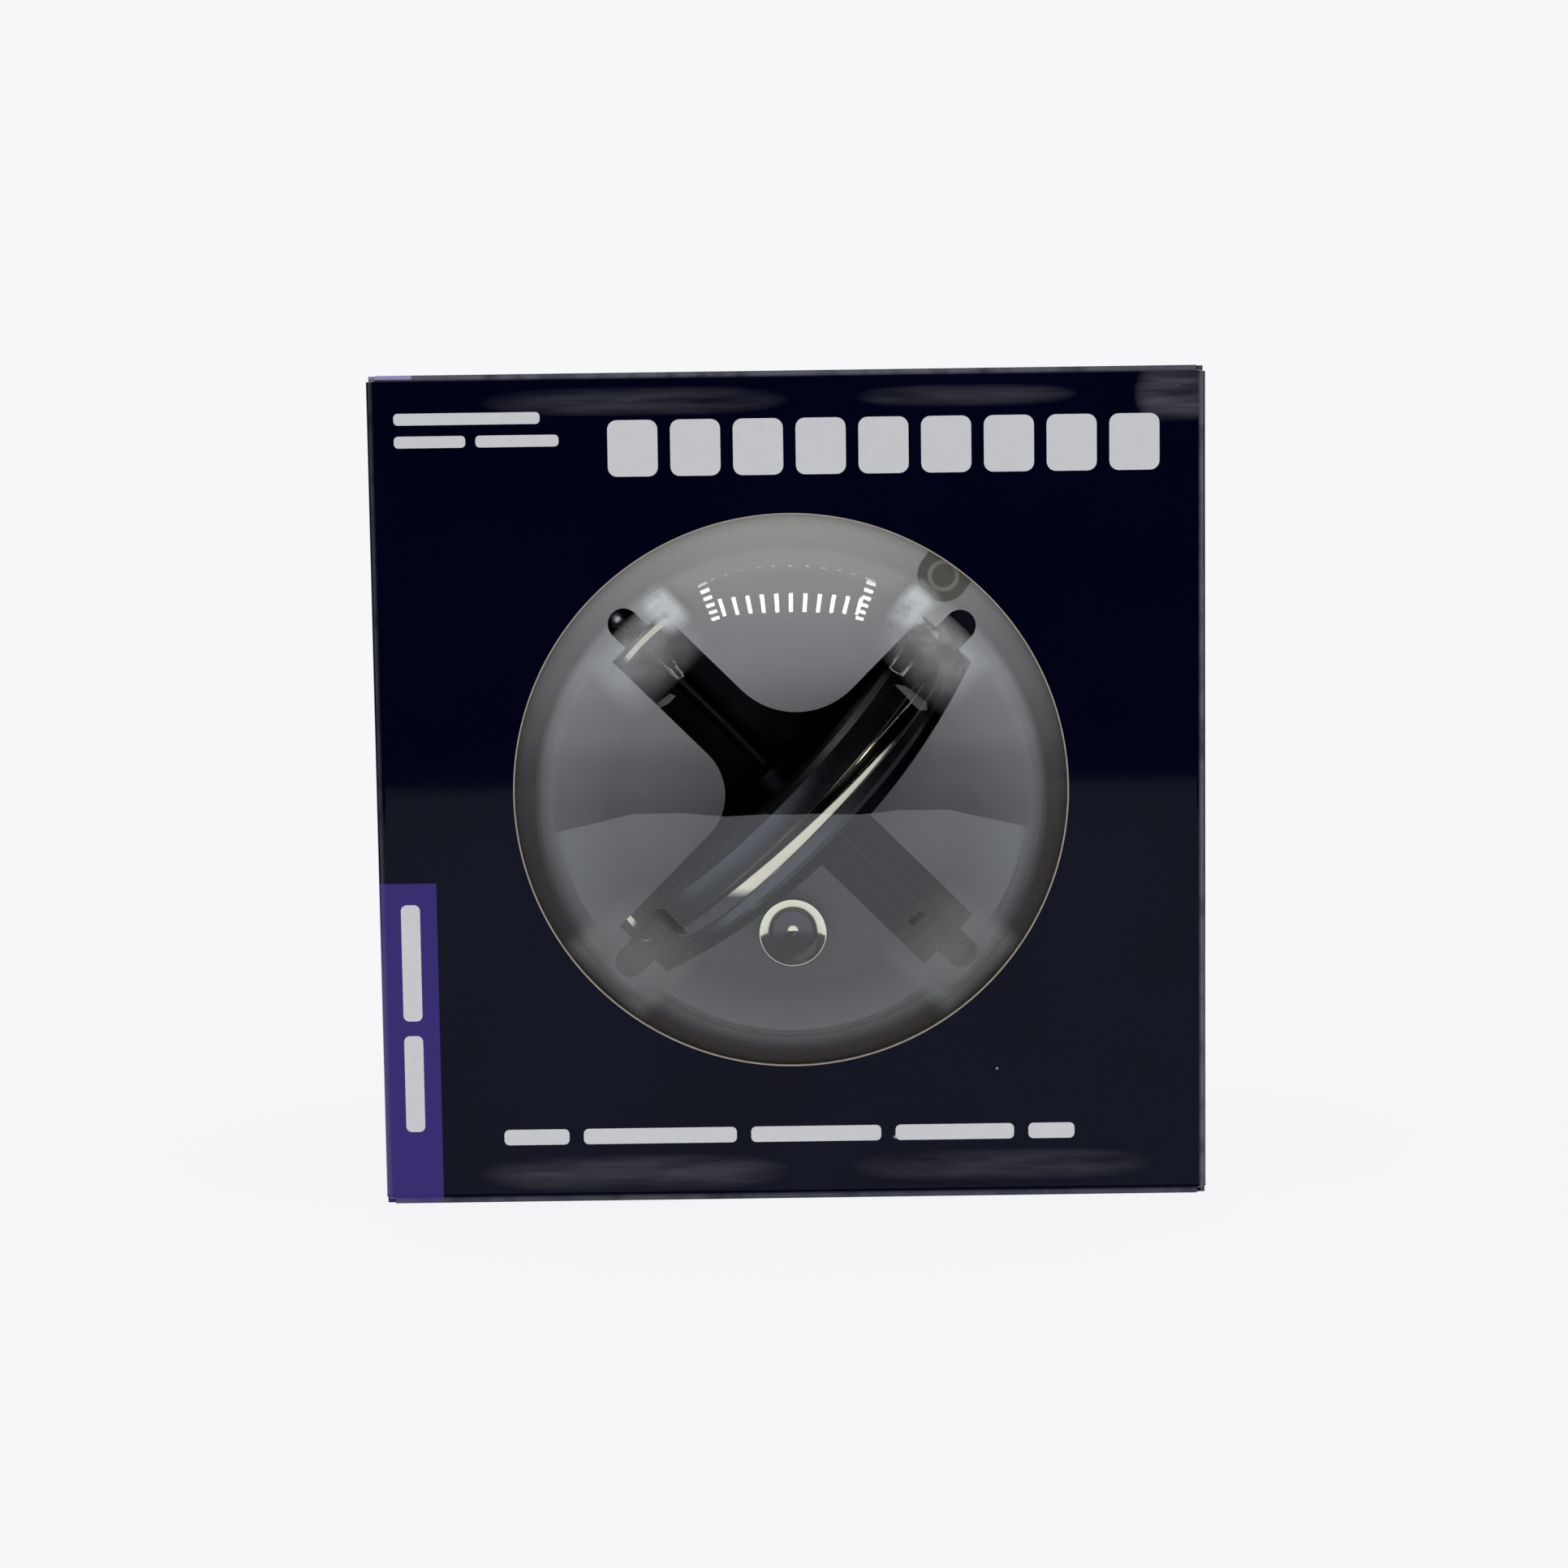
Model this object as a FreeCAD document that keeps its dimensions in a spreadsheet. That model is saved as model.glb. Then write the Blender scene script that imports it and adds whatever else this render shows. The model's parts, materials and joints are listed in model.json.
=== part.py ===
import FreeCAD, Part
import math
import os
import Sketcher

# Gyroscope set in its window carton.  Millimetres, +Z up, the window looks along -Y.
# The origin is the middle of the carton's base.

SIZES = {
    # folded board carton
    "carton_width": 100.0,
    "carton_height": 100.0,
    "carton_depth": 66.0,
    "board": 0.6,
    "fold_radius": 1.2,
    "crease_gap": 0.1,
    "lid_side_gap": 0.2,
    "tuck_length": 14.0,
    "tuck_corner_radius": 8.4,
    "tuck_gap": 0.6,
    "dust_flap_length": 36.0,
    "dust_flap_setback": 3.0,
    "glue_flap_width": 12.0,
    "glue_flap_inset": 15.8,
    "bottom_flap_length": 30.0,
    "window_gap": 2.8,
    "window_drop": 0.3,
    # clear thermoformed dome on a flat flange
    "dome_sheet": 0.4,
    "flange_width": 94.0,
    "flange_top_gap": 1.0,
    "dome_drop": 1.3,
    "cap_gap": 4.18,
    "step_ledge": 1.5,
    "step_height": 1.0,
    "dome_height": 15.5,
    "pod_inner_reach": 17.0,
    "pod_inner_height": 6.2,
    "pod_stand_in": 2.8,
    "axle_pod_radius": 4.4,
    "wheel_pod_radius": 4.8,
    # grey card with the cross-shaped cut-out
    "card_board": 0.5,
    "card_return": 8.0,
    "cross_angle": 45.0,
    "axle_arm_width": 8.4,
    "axle_arm_shift": 0.4,
    "wheel_arm_back": 3.4,
    "wheel_arm_bulge": 9.0,
    "wheel_arm_end": 4.6,
    "arm_gap": 1.2,
    "lobe_stand_out": 2.2,
    "lobe_radius": 1.9,
    "top_corner_radius": 9.4,
    "left_corner_radius": 6.9,
    "cup_hole_gap": 0.2,
    # black cradle tray behind the card
    "tray_sheet": 0.6,
    "well_gap": 0.3,
    "well_side_gap": 0.9,
    "axle_well_width": 6.4,
    "tunnel_gap": 0.6,
    # gyroscope rings, sized from the reach of the frame's two ends
    "end_reach": 33.0,
    "end_stand_out": 4.0,
    "ring_stand_out": 14.0,
    "gyro_drop": 0.6,
    "gyro_tilt": 6.0,
    "guard_ring_thickness": 2.0,
    "guard_ring_width": 2.4,
    "ring_gap": 0.1,
    "axle_ring_thickness": 1.5,
    "axle_ring_width": 4.0,
    "ring_edge": 0.4,
    "rivet_radius": 0.7,
    "rivet_head_radius": 1.2,
    "rivet_head_height": 0.4,
    "hole_gap": 0.05,
    # flywheel and axle
    "rim_gap": 1.4,
    "rim_thickness": 5.0,
    "rim_width": 8.0,
    "rim_edge": 0.7,
    "web_thickness": 2.0,
    "hub_radius": 4.0,
    "hub_length": 8.6,
    "hub_edge": 0.5,
    "axle_radius": 1.1,
    "axle_cone_length": 1.9,
    "string_hole_radius": 0.6,
    "string_hole_place": 12.0,
    # pivot screws and the frame's two ends
    "pivot_radius": 1.2,
    "pivot_stand_in": 3.4,
    "pivot_end_cover": 3.0,
    "pivot_cup_depth": 1.0,
    "pivot_play": 0.15,
    "nut_radius": 2.5,
    "nut_height": 1.8,
    "nut_gap": 0.05,
    "foot_radius": 2.2,
    "tip_radius": 1.9,
    "tip_length": 3.8,
    "tip_edge": 0.4,
    "slot_width": 0.7,
    "slot_depth": 1.4,
    # stand, stored along the carton's depth
    "stand_drop": 17.0,
    "base_radius": 22.0,
    "base_thickness": 3.0,
    "base_edge": 0.8,
    "column_radius": 3.0,
    "flare_radius": 8.0,
    "flare_length": 12.0,
    "flare_foot_radius": 5.0,
    "flare_foot_height": 2.4,
    "flare_neck_radius": 3.5,
    "flare_neck_height": 7.2,
    "cup_neck_radius": 3.1,
    "cup_neck_length": 4.5,
    "cup_rim_radius": 4.1,
    "cup_rim_height": 1.5,
    "cup_rim_edge": 0.5,
    "cup_mouth_radius": 3.2,
    "cup_floor_radius": 2.5,
    "cup_depth": 2.5,
    "dimple_radius": 0.8,
    "dimple_depth": 0.7,
}

doc = FreeCAD.newDocument("gyroscope_set")
sheet = doc.addObject("Spreadsheet::Sheet", "Sizes")
for row, (name, value) in enumerate(SIZES.items(), start=1):
    sheet.set(f"A{row}", name)
    sheet.set(f"B{row}", str(value))
    sheet.setAlias(f"B{row}", name)
doc.recompute()

NODES = []


def size(name):
    """One driving dimension, read from the sheet."""
    return float(sheet.get(name))


def formula(text):
    """A formula over the sheet's names, as an expression of the document."""
    words = text.replace("(", " ( ").replace(")", " ) ").split()
    return " ".join("Sizes." + word if word in SIZES else word for word in words)


def bind(feature, **formulas):
    """Binds properties of a feature to formulas over the sheet's names."""
    for name, text in formulas.items():
        feature.setExpression(name, formula(text))
    return feature


def node(feature, name, place=None):
    """Marks a finished feature as the sub-part of that name."""
    feature.Label = name
    if place is not None:
        feature.Placement = place
    NODES.append(feature)
    return feature


def vector(x, y, z):
    return FreeCAD.Vector(x, y, z)


def moved(x=0.0, y=0.0, z=0.0, turn=None):
    return FreeCAD.Placement(vector(x, y, z), turn or FreeCAD.Rotation())


# ---------------------------------------------------------------- derived places

half_width = size("carton_width") / 2
front = -size("carton_depth") / 2
back = size("carton_depth") / 2
height = size("carton_height")
board = size("board")
window_z = height / 2 - size("window_drop")
flange_y = front + board
card_y = flange_y + size("dome_sheet")
tray_y = card_y + size("card_board")
dome_z = window_z - size("dome_drop")
stand_z = window_z - size("stand_drop")
guard_radius = size("end_reach") - size("end_stand_out")
ring_seat = guard_radius - size("guard_ring_thickness") - size("ring_gap")
gyro_setback = guard_radius - size("ring_stand_out")
gyro_y = flange_y + gyro_setback
ring_chord = math.sqrt(guard_radius ** 2 - gyro_setback ** 2)
cap_radius = ring_chord + size("cap_gap")
step_radius = cap_radius + size("step_ledge")
gyro_z = window_z - size("gyro_drop")
contents_bottom = 2 * board
contents_top = height - board - size("tuck_length") - size("flange_top_gap")

# Pieces that face the window are drawn flat, X right and Y up, and stood up by this turn.
FACING = FreeCAD.Rotation(vector(1, 0, 0), 90)


def gyroscope_place():
    """The gyroscope lies across the window: its axle runs to the upper left, tipped forward."""
    angle = math.radians(size("cross_angle"))
    tilt = math.radians(size("gyro_tilt"))
    upper_left = vector(-math.sin(angle), 0, math.cos(angle))
    upper_right = vector(math.cos(angle), 0, math.sin(angle))
    forward = vector(0, -1, 0)
    axle_way = upper_left * math.cos(tilt) + forward * math.sin(tilt)
    front_way = forward * math.cos(tilt) - upper_left * math.sin(tilt)
    turn = FreeCAD.Rotation(front_way, upper_right, axle_way, "ZXY")
    return FreeCAD.Placement(vector(0, gyro_y, gyro_z), turn)


GYRO = gyroscope_place()


# Lengths of the gyroscope as formulas: each ring sits inside the next by a named clearance.
GUARD_RADIUS = "( end_reach - end_stand_out )"
AXLE_RING_RADIUS = f"( {GUARD_RADIUS} - guard_ring_thickness - ring_gap )"
AXLE_RING_INSIDE = f"( {AXLE_RING_RADIUS} - axle_ring_thickness )"
RIM_RADIUS = f"( {AXLE_RING_INSIDE} - rim_gap )"
RIM_INSIDE = f"( {RIM_RADIUS} - rim_thickness )"
PIVOT_INNER_END = f"( {AXLE_RING_INSIDE} - pivot_stand_in )"
PIVOT_OUTER_END = "( end_reach - pivot_end_cover )"
# The guard ring's chord in the flange's plane; the dome and the window are larger by named gaps.
GYRO_SETBACK = f"( {GUARD_RADIUS} - ring_stand_out )"
RING_CHORD = f"( {GUARD_RADIUS} ^ 2 - {GYRO_SETBACK} ^ 2 ) ^ 0.5"
WINDOW_RADIUS = f"{RING_CHORD} + cap_gap + step_ledge + window_gap"


# ---------------------------------------------------------------- feature helpers

def box(name, length, width, tall, x="0", y="0", z="0"):
    """A board or block: its size and its lowest corner are formulas."""
    block = doc.addObject("Part::Box", name)
    bind(block, Length=length, Width=width, Height=tall)
    block.setExpression("Placement.Base.x", formula(x))
    block.setExpression("Placement.Base.y", formula(y))
    block.setExpression("Placement.Base.z", formula(z))
    return block


def rod(name, radius, length, place):
    """A straight round rod that starts at a place and runs along its Z."""
    bar = doc.addObject("Part::Cylinder", name)
    bind(bar, Radius=radius, Height=length)
    bar.Placement = place
    return bar


def cut(name, base, *tools):
    """The base less every tool."""
    result = base
    for number, tool in enumerate(tools, start=1):
        step = doc.addObject("Part::Cut", f"{name}_cut_{number}")
        step.Base = result
        step.Tool = tool
        result = step
    return result


def joined(name, *pieces):
    """One solid of several that meet."""
    whole = doc.addObject("Part::MultiFuse", name + "_whole")
    whole.Shapes = list(pieces)
    whole.Refine = True
    return whole


def origin_plane(body, role):
    return next(item for item in body.Origin.OriginFeatures if item.Role == role)


def hold(sketch, corner, way, text):
    """Ties one corner of an outline to a formula, measured from the sketch's origin."""
    if text == "0":
        axis = -2 if way == "DistanceX" else -1
        sketch.addConstraint(Sketcher.Constraint("PointOnObject", corner, 1, axis))
        return
    start = sketch.Geometry[corner].StartPoint
    now = start.x if way == "DistanceX" else start.y
    index = sketch.addConstraint(Sketcher.Constraint(way, -1, 1, corner, 1, now))
    sketch.setExpression(f"Constraints[{index}]", formula(text))


def turned(name, outline):
    """A lathe-turned body: an outline of (radius, height) formulas, spun about Z."""
    body = doc.addObject("PartDesign::Body", name + "_body")
    sketch = body.newObject("Sketcher::SketchObject", name + "_outline")
    sketch.AttachmentSupport = [(origin_plane(body, "XZ_Plane"), "")]
    sketch.MapMode = "FlatFace"
    count = len(outline)
    # The outline starts as a plain round polygon; its bound sizes pull it into shape.
    start = [
        vector(20 + 10 * math.cos(2 * math.pi * i / count), 20 + 10 * math.sin(2 * math.pi * i / count), 0)
        for i in range(count)
    ]
    for i in range(count):
        sketch.addGeometry(Part.LineSegment(start[i], start[(i + 1) % count]), False)
    for i in range(count):
        sketch.addConstraint(Sketcher.Constraint("Coincident", i, 2, (i + 1) % count, 1))
    for i, (radius, tall) in enumerate(outline):
        hold(sketch, i, "DistanceX", radius)
        hold(sketch, i, "DistanceY", tall)
    spin = body.newObject("PartDesign::Revolution", name + "_spin")
    spin.Profile = sketch
    spin.ReferenceAxis = (sketch, ["V_Axis"])
    spin.Angle = 360
    return body


def in_code(name, shape, place=None):
    """A sub-part whose shape is worked out by functions of its own."""
    piece = doc.addObject("Part::Feature", name + "_shape")
    piece.Shape = shape
    return node(piece, name, place or FreeCAD.Placement())


# ---------------------------------------------------------------- carton

def fold_corner(name, x, y, start_angle, tall, z):
    """A quarter-round vertical fold between two panels."""
    pieces = []
    for suffix, radius in (("outer", "fold_radius"), ("inner", "fold_radius - board")):
        turn = FreeCAD.Rotation(vector(0, 0, 1), start_angle)
        wedge = doc.addObject("Part::Cylinder", f"{name}_{suffix}")
        bind(wedge, Radius=radius, Height=tall)
        wedge.Angle = 90
        wedge.Placement = moved(x, y, z, turn)
        pieces.append(wedge)
    return cut(name, *pieces)


def wall_with_folds(name, is_front):
    """The front or back panel with the two vertical folds beside it."""
    fold = size("fold_radius")
    corner_y = front + fold if is_front else back - fold
    left_angle = 180 if is_front else 90
    right_angle = 270 if is_front else 0
    low = size("board") + size("crease_gap")
    corner_tall = "carton_height - 2 * board - 2 * crease_gap"
    left = fold_corner(name + "_left_fold", -half_width + fold, corner_y, left_angle, corner_tall, low)
    right = fold_corner(name + "_right_fold", half_width - fold, corner_y, right_angle, corner_tall, low)
    tall = "carton_height" if is_front else "carton_height - board - crease_gap"
    flat_y = "0 - carton_depth / 2" if is_front else "carton_depth / 2 - board"
    flat = box(
        name + "_flat",
        "carton_width - 2 * fold_radius",
        "board",
        tall,
        x="fold_radius - carton_width / 2",
        y=flat_y,
    )
    return joined(name, flat, left, right)


def build_carton_walls():
    front_wall = wall_with_folds("front_panel", True)
    window = rod("window_cutter", WINDOW_RADIUS, "3 * board", moved(0, front - board, window_z))
    window.Placement = moved(0, front + 2 * board, window_z, FACING)
    node(cut("front_panel_window", front_wall, window), "front_panel")
    node(wall_with_folds("back_panel", False), "back_panel")
    side_length = "carton_depth - 2 * fold_radius"
    side_tall = "carton_height - 2 * board - 2 * crease_gap"
    for side, x in (("left", "0 - carton_width / 2"), ("right", "carton_width / 2 - board")):
        side_wall = box(
            f"{side}_wall",
            "board",
            side_length,
            side_tall,
            x=x,
            y="fold_radius - carton_depth / 2",
            z="board + crease_gap",
        )
        node(side_wall, f"{side}_side_panel")
    glue = box(
        "glue_strip",
        "board",
        "glue_flap_width",
        "carton_height - 2 * glue_flap_inset",
        x="board - carton_width / 2",
        y="carton_depth / 2 - fold_radius - glue_flap_width",
        z="glue_flap_inset",
    )
    node(glue, "glue_flap")


def build_carton_bottom():
    bottom = box(
        "bottom_board",
        "carton_width - 2 * lid_side_gap",
        "carton_depth - 2 * board",
        "board",
        x="lid_side_gap - carton_width / 2",
        y="board - carton_depth / 2",
    )
    node(bottom, "bottom_panel")
    for side, x in (
        ("left", "board - carton_width / 2"),
        ("right", "carton_width / 2 - board - bottom_flap_length"),
    ):
        flap = box(
            f"bottom_{side}",
            "bottom_flap_length",
            "carton_depth - 2 * dust_flap_setback - 2 * fold_radius",
            "board",
            x=x,
            y="dust_flap_setback + fold_radius - carton_depth / 2",
            z="board",
        )
        node(flap, f"bottom_flap_{side}")


def build_carton_top():
    for side, x in (
        ("left", "board - carton_width / 2"),
        ("right", "carton_width / 2 - board - dust_flap_length"),
    ):
        flap = box(
            f"dust_{side}",
            "dust_flap_length",
            "carton_depth - 2 * dust_flap_setback - fold_radius",
            "board",
            x=x,
            y="dust_flap_setback + fold_radius - carton_depth / 2",
            z="carton_height - 2 * board - crease_gap",
        )
        node(flap, f"dust_flap_{side}")
    lid = box(
        "lid_board",
        "carton_width - 2 * lid_side_gap",
        "carton_depth - 2 * board - tuck_gap - crease_gap",
        "board",
        x="lid_side_gap - carton_width / 2",
        y="2 * board + tuck_gap + crease_gap - carton_depth / 2",
        z="carton_height - board",
    )
    node(lid, "lid_panel")


def build_tuck_flap():
    """The lid's tuck flap: a tongue with rounded lower corners and the quarter-round fold above it."""
    tongue = box(
        "tuck_tongue",
        "carton_width - 4 * fold_radius",
        "board",
        "tuck_length",
        x="2 * fold_radius - carton_width / 2",
        y="board + tuck_gap - carton_depth / 2",
        z="carton_height - board - tuck_length",
    )
    rounded = doc.addObject("Part::Fillet", "tuck_rounded")
    rounded.Base = tongue
    doc.recompute()
    radius = size("tuck_corner_radius")
    low = height - board - size("tuck_length")
    corners = []
    for number, edge in enumerate(tongue.Shape.Edges, start=1):
        middle = edge.CenterOfMass
        runs_through = abs(edge.BoundBox.YLength - board) < 1e-6
        if runs_through and abs(middle.z - low) < 1e-6:
            corners.append((number, radius, radius))
    rounded.Edges = corners
    fold = doc.addObject("Part::Cylinder", "tuck_fold")
    bind(fold, Radius="board", Height="carton_width - 4 * fold_radius")
    fold.Angle = 90
    # the wedge runs along X and fills the quarter above and in front of the hinge line
    turn = FreeCAD.Rotation(vector(0, -1, 0), vector(0, 0, 1), vector(-1, 0, 0), "ZXY")
    fold.Placement = moved(
        half_width - 2 * size("fold_radius"),
        front + 2 * board + size("tuck_gap"),
        height - board,
        turn,
    )
    node(joined("tuck", rounded, fold), "lid_tuck_flap")


# ---------------------------------------------------------------- clear dome

def capsule(start, end, radius):
    """A rod with round ends."""
    way = end - start
    return (
        Part.makeCylinder(radius, way.Length, start, way)
        .fuse(Part.makeSphere(radius, start))
        .fuse(Part.makeSphere(radius, end))
    )


def dome_bulk(offset, floor):
    """The dome's outer form shrunk by an offset, above a floor level: step, cap and the four arm pods."""
    cap_rise = size("dome_height") - size("step_height")
    sphere_radius = (cap_radius ** 2 + cap_rise ** 2) / (2 * cap_rise)
    centre_depth = sphere_radius - size("dome_height")
    step_height = size("step_height") - offset - floor
    bulk = Part.makeCylinder(step_radius - offset, step_height, vector(0, 0, floor))
    bulk = bulk.fuse(Part.makeSphere(sphere_radius - offset, vector(0, 0, -centre_depth)))
    for quarter in range(4):
        angle = math.radians(size("cross_angle") + 90 * quarter)
        along = vector(math.cos(angle), math.sin(angle), 0)
        radius = size("wheel_pod_radius") if quarter % 2 == 0 else size("axle_pod_radius")
        start = along * size("pod_inner_reach") + vector(0, 0, size("pod_inner_height"))
        end = along * (cap_radius - size("pod_stand_in"))
        bulk = bulk.fuse(capsule(start, end, radius - offset))
    reach = 2 * sphere_radius
    above = Part.makeBox(2 * reach, 2 * reach, reach, vector(-reach, -reach, floor))
    return bulk.common(above)


def build_dome():
    sheet_thickness = size("dome_sheet")
    flange_height = contents_top - contents_bottom
    flange = Part.makeBox(
        size("flange_width"),
        flange_height,
        sheet_thickness,
        vector(-size("flange_width") / 2, contents_bottom - dome_z, -sheet_thickness),
    )
    outer = dome_bulk(0, 0)
    inner = dome_bulk(sheet_thickness, -sheet_thickness)
    shell = flange.fuse(outer).cut(inner).removeSplitter()
    in_code("window_dome", shell, moved(0, flange_y, dome_z, FACING))


# ---------------------------------------------------------------- grey card

def slab(face_points, thickness):
    """A flat piece of straight edges, in the drawing plane."""
    wire = Part.makePolygon([vector(x, y, 0) for x, y in face_points] + [vector(*face_points[0], 0)])
    return Part.Face(wire).extrude(vector(0, 0, thickness))


def corner_web(corner, way_one, way_two, radius, thickness):
    """What a rounded inner corner leaves out of a sharp one."""
    across = way_one * radius
    along = way_two * radius
    square = slab(
        [
            (corner.x, corner.y),
            ((corner + across).x, (corner + across).y),
            ((corner + across + along).x, (corner + across + along).y),
            ((corner + along).x, (corner + along).y),
        ],
        thickness,
    )
    centre = corner + across + along
    return square.cut(Part.makeCylinder(radius, thickness, centre))


def cross_cutout(thickness):
    """The die-cut cross: a straight arm for the axle ring and a bulged arm for the flywheel."""
    angle = math.radians(size("cross_angle"))
    lower_right = vector(math.sin(angle), -math.cos(angle), 0)
    upper_right = vector(math.cos(angle), math.sin(angle), 0)
    card_depth = gyro_y - card_y
    reach = math.sqrt(guard_radius ** 2 - card_depth ** 2) + size("arm_gap")
    lobe_reach = reach + size("lobe_stand_out")
    low_side = size("axle_arm_shift") - size("axle_arm_width") / 2
    high_side = size("axle_arm_shift") + size("axle_arm_width") / 2

    def at(along_axle, along_wheel):
        return lower_right * along_axle + upper_right * along_wheel

    corners = [at(-reach, low_side), at(reach, low_side), at(reach, high_side), at(-reach, high_side)]
    axle_arm = slab([(p.x, p.y) for p in corners], thickness)

    back_edge = -size("wheel_arm_back")
    end_edge = size("wheel_arm_end")
    bulge = Part.Arc(at(end_edge, reach), at(size("wheel_arm_bulge"), 0), at(end_edge, -reach))
    outline = [
        Part.LineSegment(at(back_edge, -reach), at(back_edge, reach)).toShape(),
        Part.LineSegment(at(back_edge, reach), at(end_edge, reach)).toShape(),
        bulge.toShape(),
        Part.LineSegment(at(end_edge, -reach), at(back_edge, -reach)).toShape(),
    ]
    wheel_arm = Part.Face(Part.Wire(outline)).extrude(vector(0, 0, thickness))

    cross = axle_arm.fuse(wheel_arm)
    middle = (end_edge + back_edge) / 2
    for start, end in (
        (at(-reach, size("axle_arm_shift")), at(-lobe_reach, size("axle_arm_shift"))),
        (at(reach, size("axle_arm_shift")), at(lobe_reach, size("axle_arm_shift"))),
        (at(middle, reach), at(middle, lobe_reach)),
        (at(middle, -reach), at(middle, -lobe_reach)),
    ):
        side = (end - start).normalize().cross(vector(0, 0, 1)) * size("lobe_radius")
        inward = (start - end).normalize() * size("lobe_radius")
        points = [start + inward + side, end + side, end - side, start + inward - side]
        cross = cross.fuse(slab([(p.x, p.y) for p in points], thickness))
        cross = cross.fuse(Part.makeCylinder(size("lobe_radius"), thickness, end))
    top_corner = at(back_edge, high_side)
    cross = cross.fuse(
        corner_web(top_corner, -lower_right, upper_right, size("top_corner_radius"), thickness)
    )
    left_corner = at(back_edge, low_side)
    cross = cross.fuse(
        corner_web(left_corner, -lower_right, -upper_right, size("left_corner_radius"), thickness)
    )
    return cross


def build_card():
    """Drawn with its front face at the window's middle; its back and its two returns run inward."""
    thickness = size("card_board")
    width = size("flange_width")
    bottom = contents_bottom - window_z
    top = contents_top - window_z
    card = Part.makeBox(width, top - bottom, thickness, vector(-width / 2, bottom, -thickness))
    for y in (bottom, top - thickness):
        card = card.fuse(
            Part.makeBox(
                width, thickness, size("card_return"), vector(-width / 2, y, -size("card_return"))
            )
        )
    through = cross_cutout(3 * thickness)
    through.translate(vector(0, 0, -2 * thickness))
    cup_hole = Part.makeCylinder(
        size("cup_neck_radius") + size("cup_hole_gap"),
        3 * thickness,
        vector(0, -size("stand_drop"), -2 * thickness),
    )
    shape = card.cut(through).cut(cup_hole).removeSplitter()
    in_code("insert_card", shape, moved(0, card_y, window_z, FACING))


# ---------------------------------------------------------------- cradle tray

def well_bulk(extra):
    """The gyroscope's nest in its own frame: a deep wheel well, a round bowl and a trough for the ends."""
    radius = guard_radius + size("well_gap") + extra
    wheel_half = size("rim_width") / 2 + size("well_side_gap") + extra
    ring_half = size("axle_well_width") / 2 + extra
    end_reach = size("end_reach") + size("well_gap") + extra
    wheel_well = Part.makeCylinder(radius, 2 * wheel_half, vector(0, 0, -wheel_half))
    bowl = Part.makeCylinder(radius, radius + ring_half, vector(-ring_half, 0, 0), vector(1, 0, 0))
    trough = Part.makeBox(
        radius + ring_half, 2 * ring_half, 2 * end_reach, vector(-ring_half, -ring_half, -end_reach)
    )
    bulk = wheel_well.fuse(bowl).fuse(trough)
    bulk.Placement = GYRO
    return bulk


def build_tray():
    wall = size("tray_sheet")
    width = size("flange_width") - 2 * wall
    inner_return = size("card_board")
    bottom = contents_bottom + inner_return
    top = contents_top - inner_return
    flange = Part.makeBox(width, wall, top - bottom, vector(-width / 2, tray_y, bottom))
    behind = Part.makeBox(
        2 * half_width, size("carton_depth"), height, vector(-half_width, tray_y, 0)
    )
    tunnel_radius = size("column_radius") + size("tunnel_gap")
    tunnel_end = gyro_y + guard_radius
    tunnel_start = vector(0, tray_y, stand_z)
    tunnel_length = tunnel_end - tray_y
    back_way = vector(0, 1, 0)
    sleeve = Part.makeCylinder(tunnel_radius + wall, tunnel_length, tunnel_start, back_way)
    passage = Part.makeCylinder(
        tunnel_radius, tunnel_length + 2 * wall, tunnel_start - back_way * wall, back_way
    )
    outer = well_bulk(wall).common(behind)
    tray = flange.fuse(outer).fuse(sleeve).cut(well_bulk(0)).cut(passage).removeSplitter()
    in_code("cradle_tray", tray)


# ---------------------------------------------------------------- gyroscope

def along_axle(z, turn=None):
    """A place on the axle, at a distance from the gyroscope's middle."""
    return GYRO.multiply(moved(0, 0, z, turn))


LYING = FreeCAD.Rotation(vector(1, 0, 0), 90)
# The two rings cross at the gyroscope's two sides, where neither the front nor the axle lies.
SIDEWAYS = FreeCAD.Rotation(vector(1, 0, 0), -90)


def band(name, outer, thickness, width):
    """A flat ring with broken edges, from height 0 up to its width."""
    return turned(
        name,
        [
            (f"{outer} - {thickness}", "ring_edge"),
            (f"{outer} - {thickness} + ring_edge", "0"),
            (f"{outer} - ring_edge", "0"),
            (outer, "ring_edge"),
            (outer, f"{width} - ring_edge"),
            (f"{outer} - ring_edge", width),
            (f"{outer} - {thickness} + ring_edge", width),
            (f"{outer} - {thickness}", f"{width} - ring_edge"),
        ],
    )


def across(name, radius, turn, half_length):
    """A rod through the gyroscope's middle, both ways along a turned Z."""
    length = 2 * half_length
    start = turn.multVec(vector(0, 0, -half_length))
    bar = doc.addObject("Part::Cylinder", name)
    bind(bar, Radius=radius)
    bar.Height = length
    bar.Placement = FreeCAD.Placement(start, turn)
    return bar


def build_rings():
    guard = band("guard", GUARD_RADIUS, "guard_ring_thickness", "guard_ring_width")
    guard.Placement = moved(0, 0, -size("guard_ring_width") / 2)
    reach = 2 * guard_radius
    rivet_way = across("guard_rivet_holes", "rivet_radius + hole_gap", SIDEWAYS, reach)
    node(cut("guard_drilled", guard, rivet_way), "guard_ring", GYRO)

    ring = band("axle_band", AXLE_RING_RADIUS, "axle_ring_thickness", "axle_ring_width")
    ring.Placement = moved(-size("axle_ring_width") / 2, 0, 0, FreeCAD.Rotation(vector(0, 1, 0), 90))
    rivet_holes = across("axle_rivet_holes", "rivet_radius + hole_gap", SIDEWAYS, reach)
    pivot_holes = across("axle_pivot_holes", "pivot_radius + hole_gap", FreeCAD.Rotation(), reach)
    node(cut("axle_drilled", ring, rivet_holes, pivot_holes), "axle_ring", GYRO)


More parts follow.
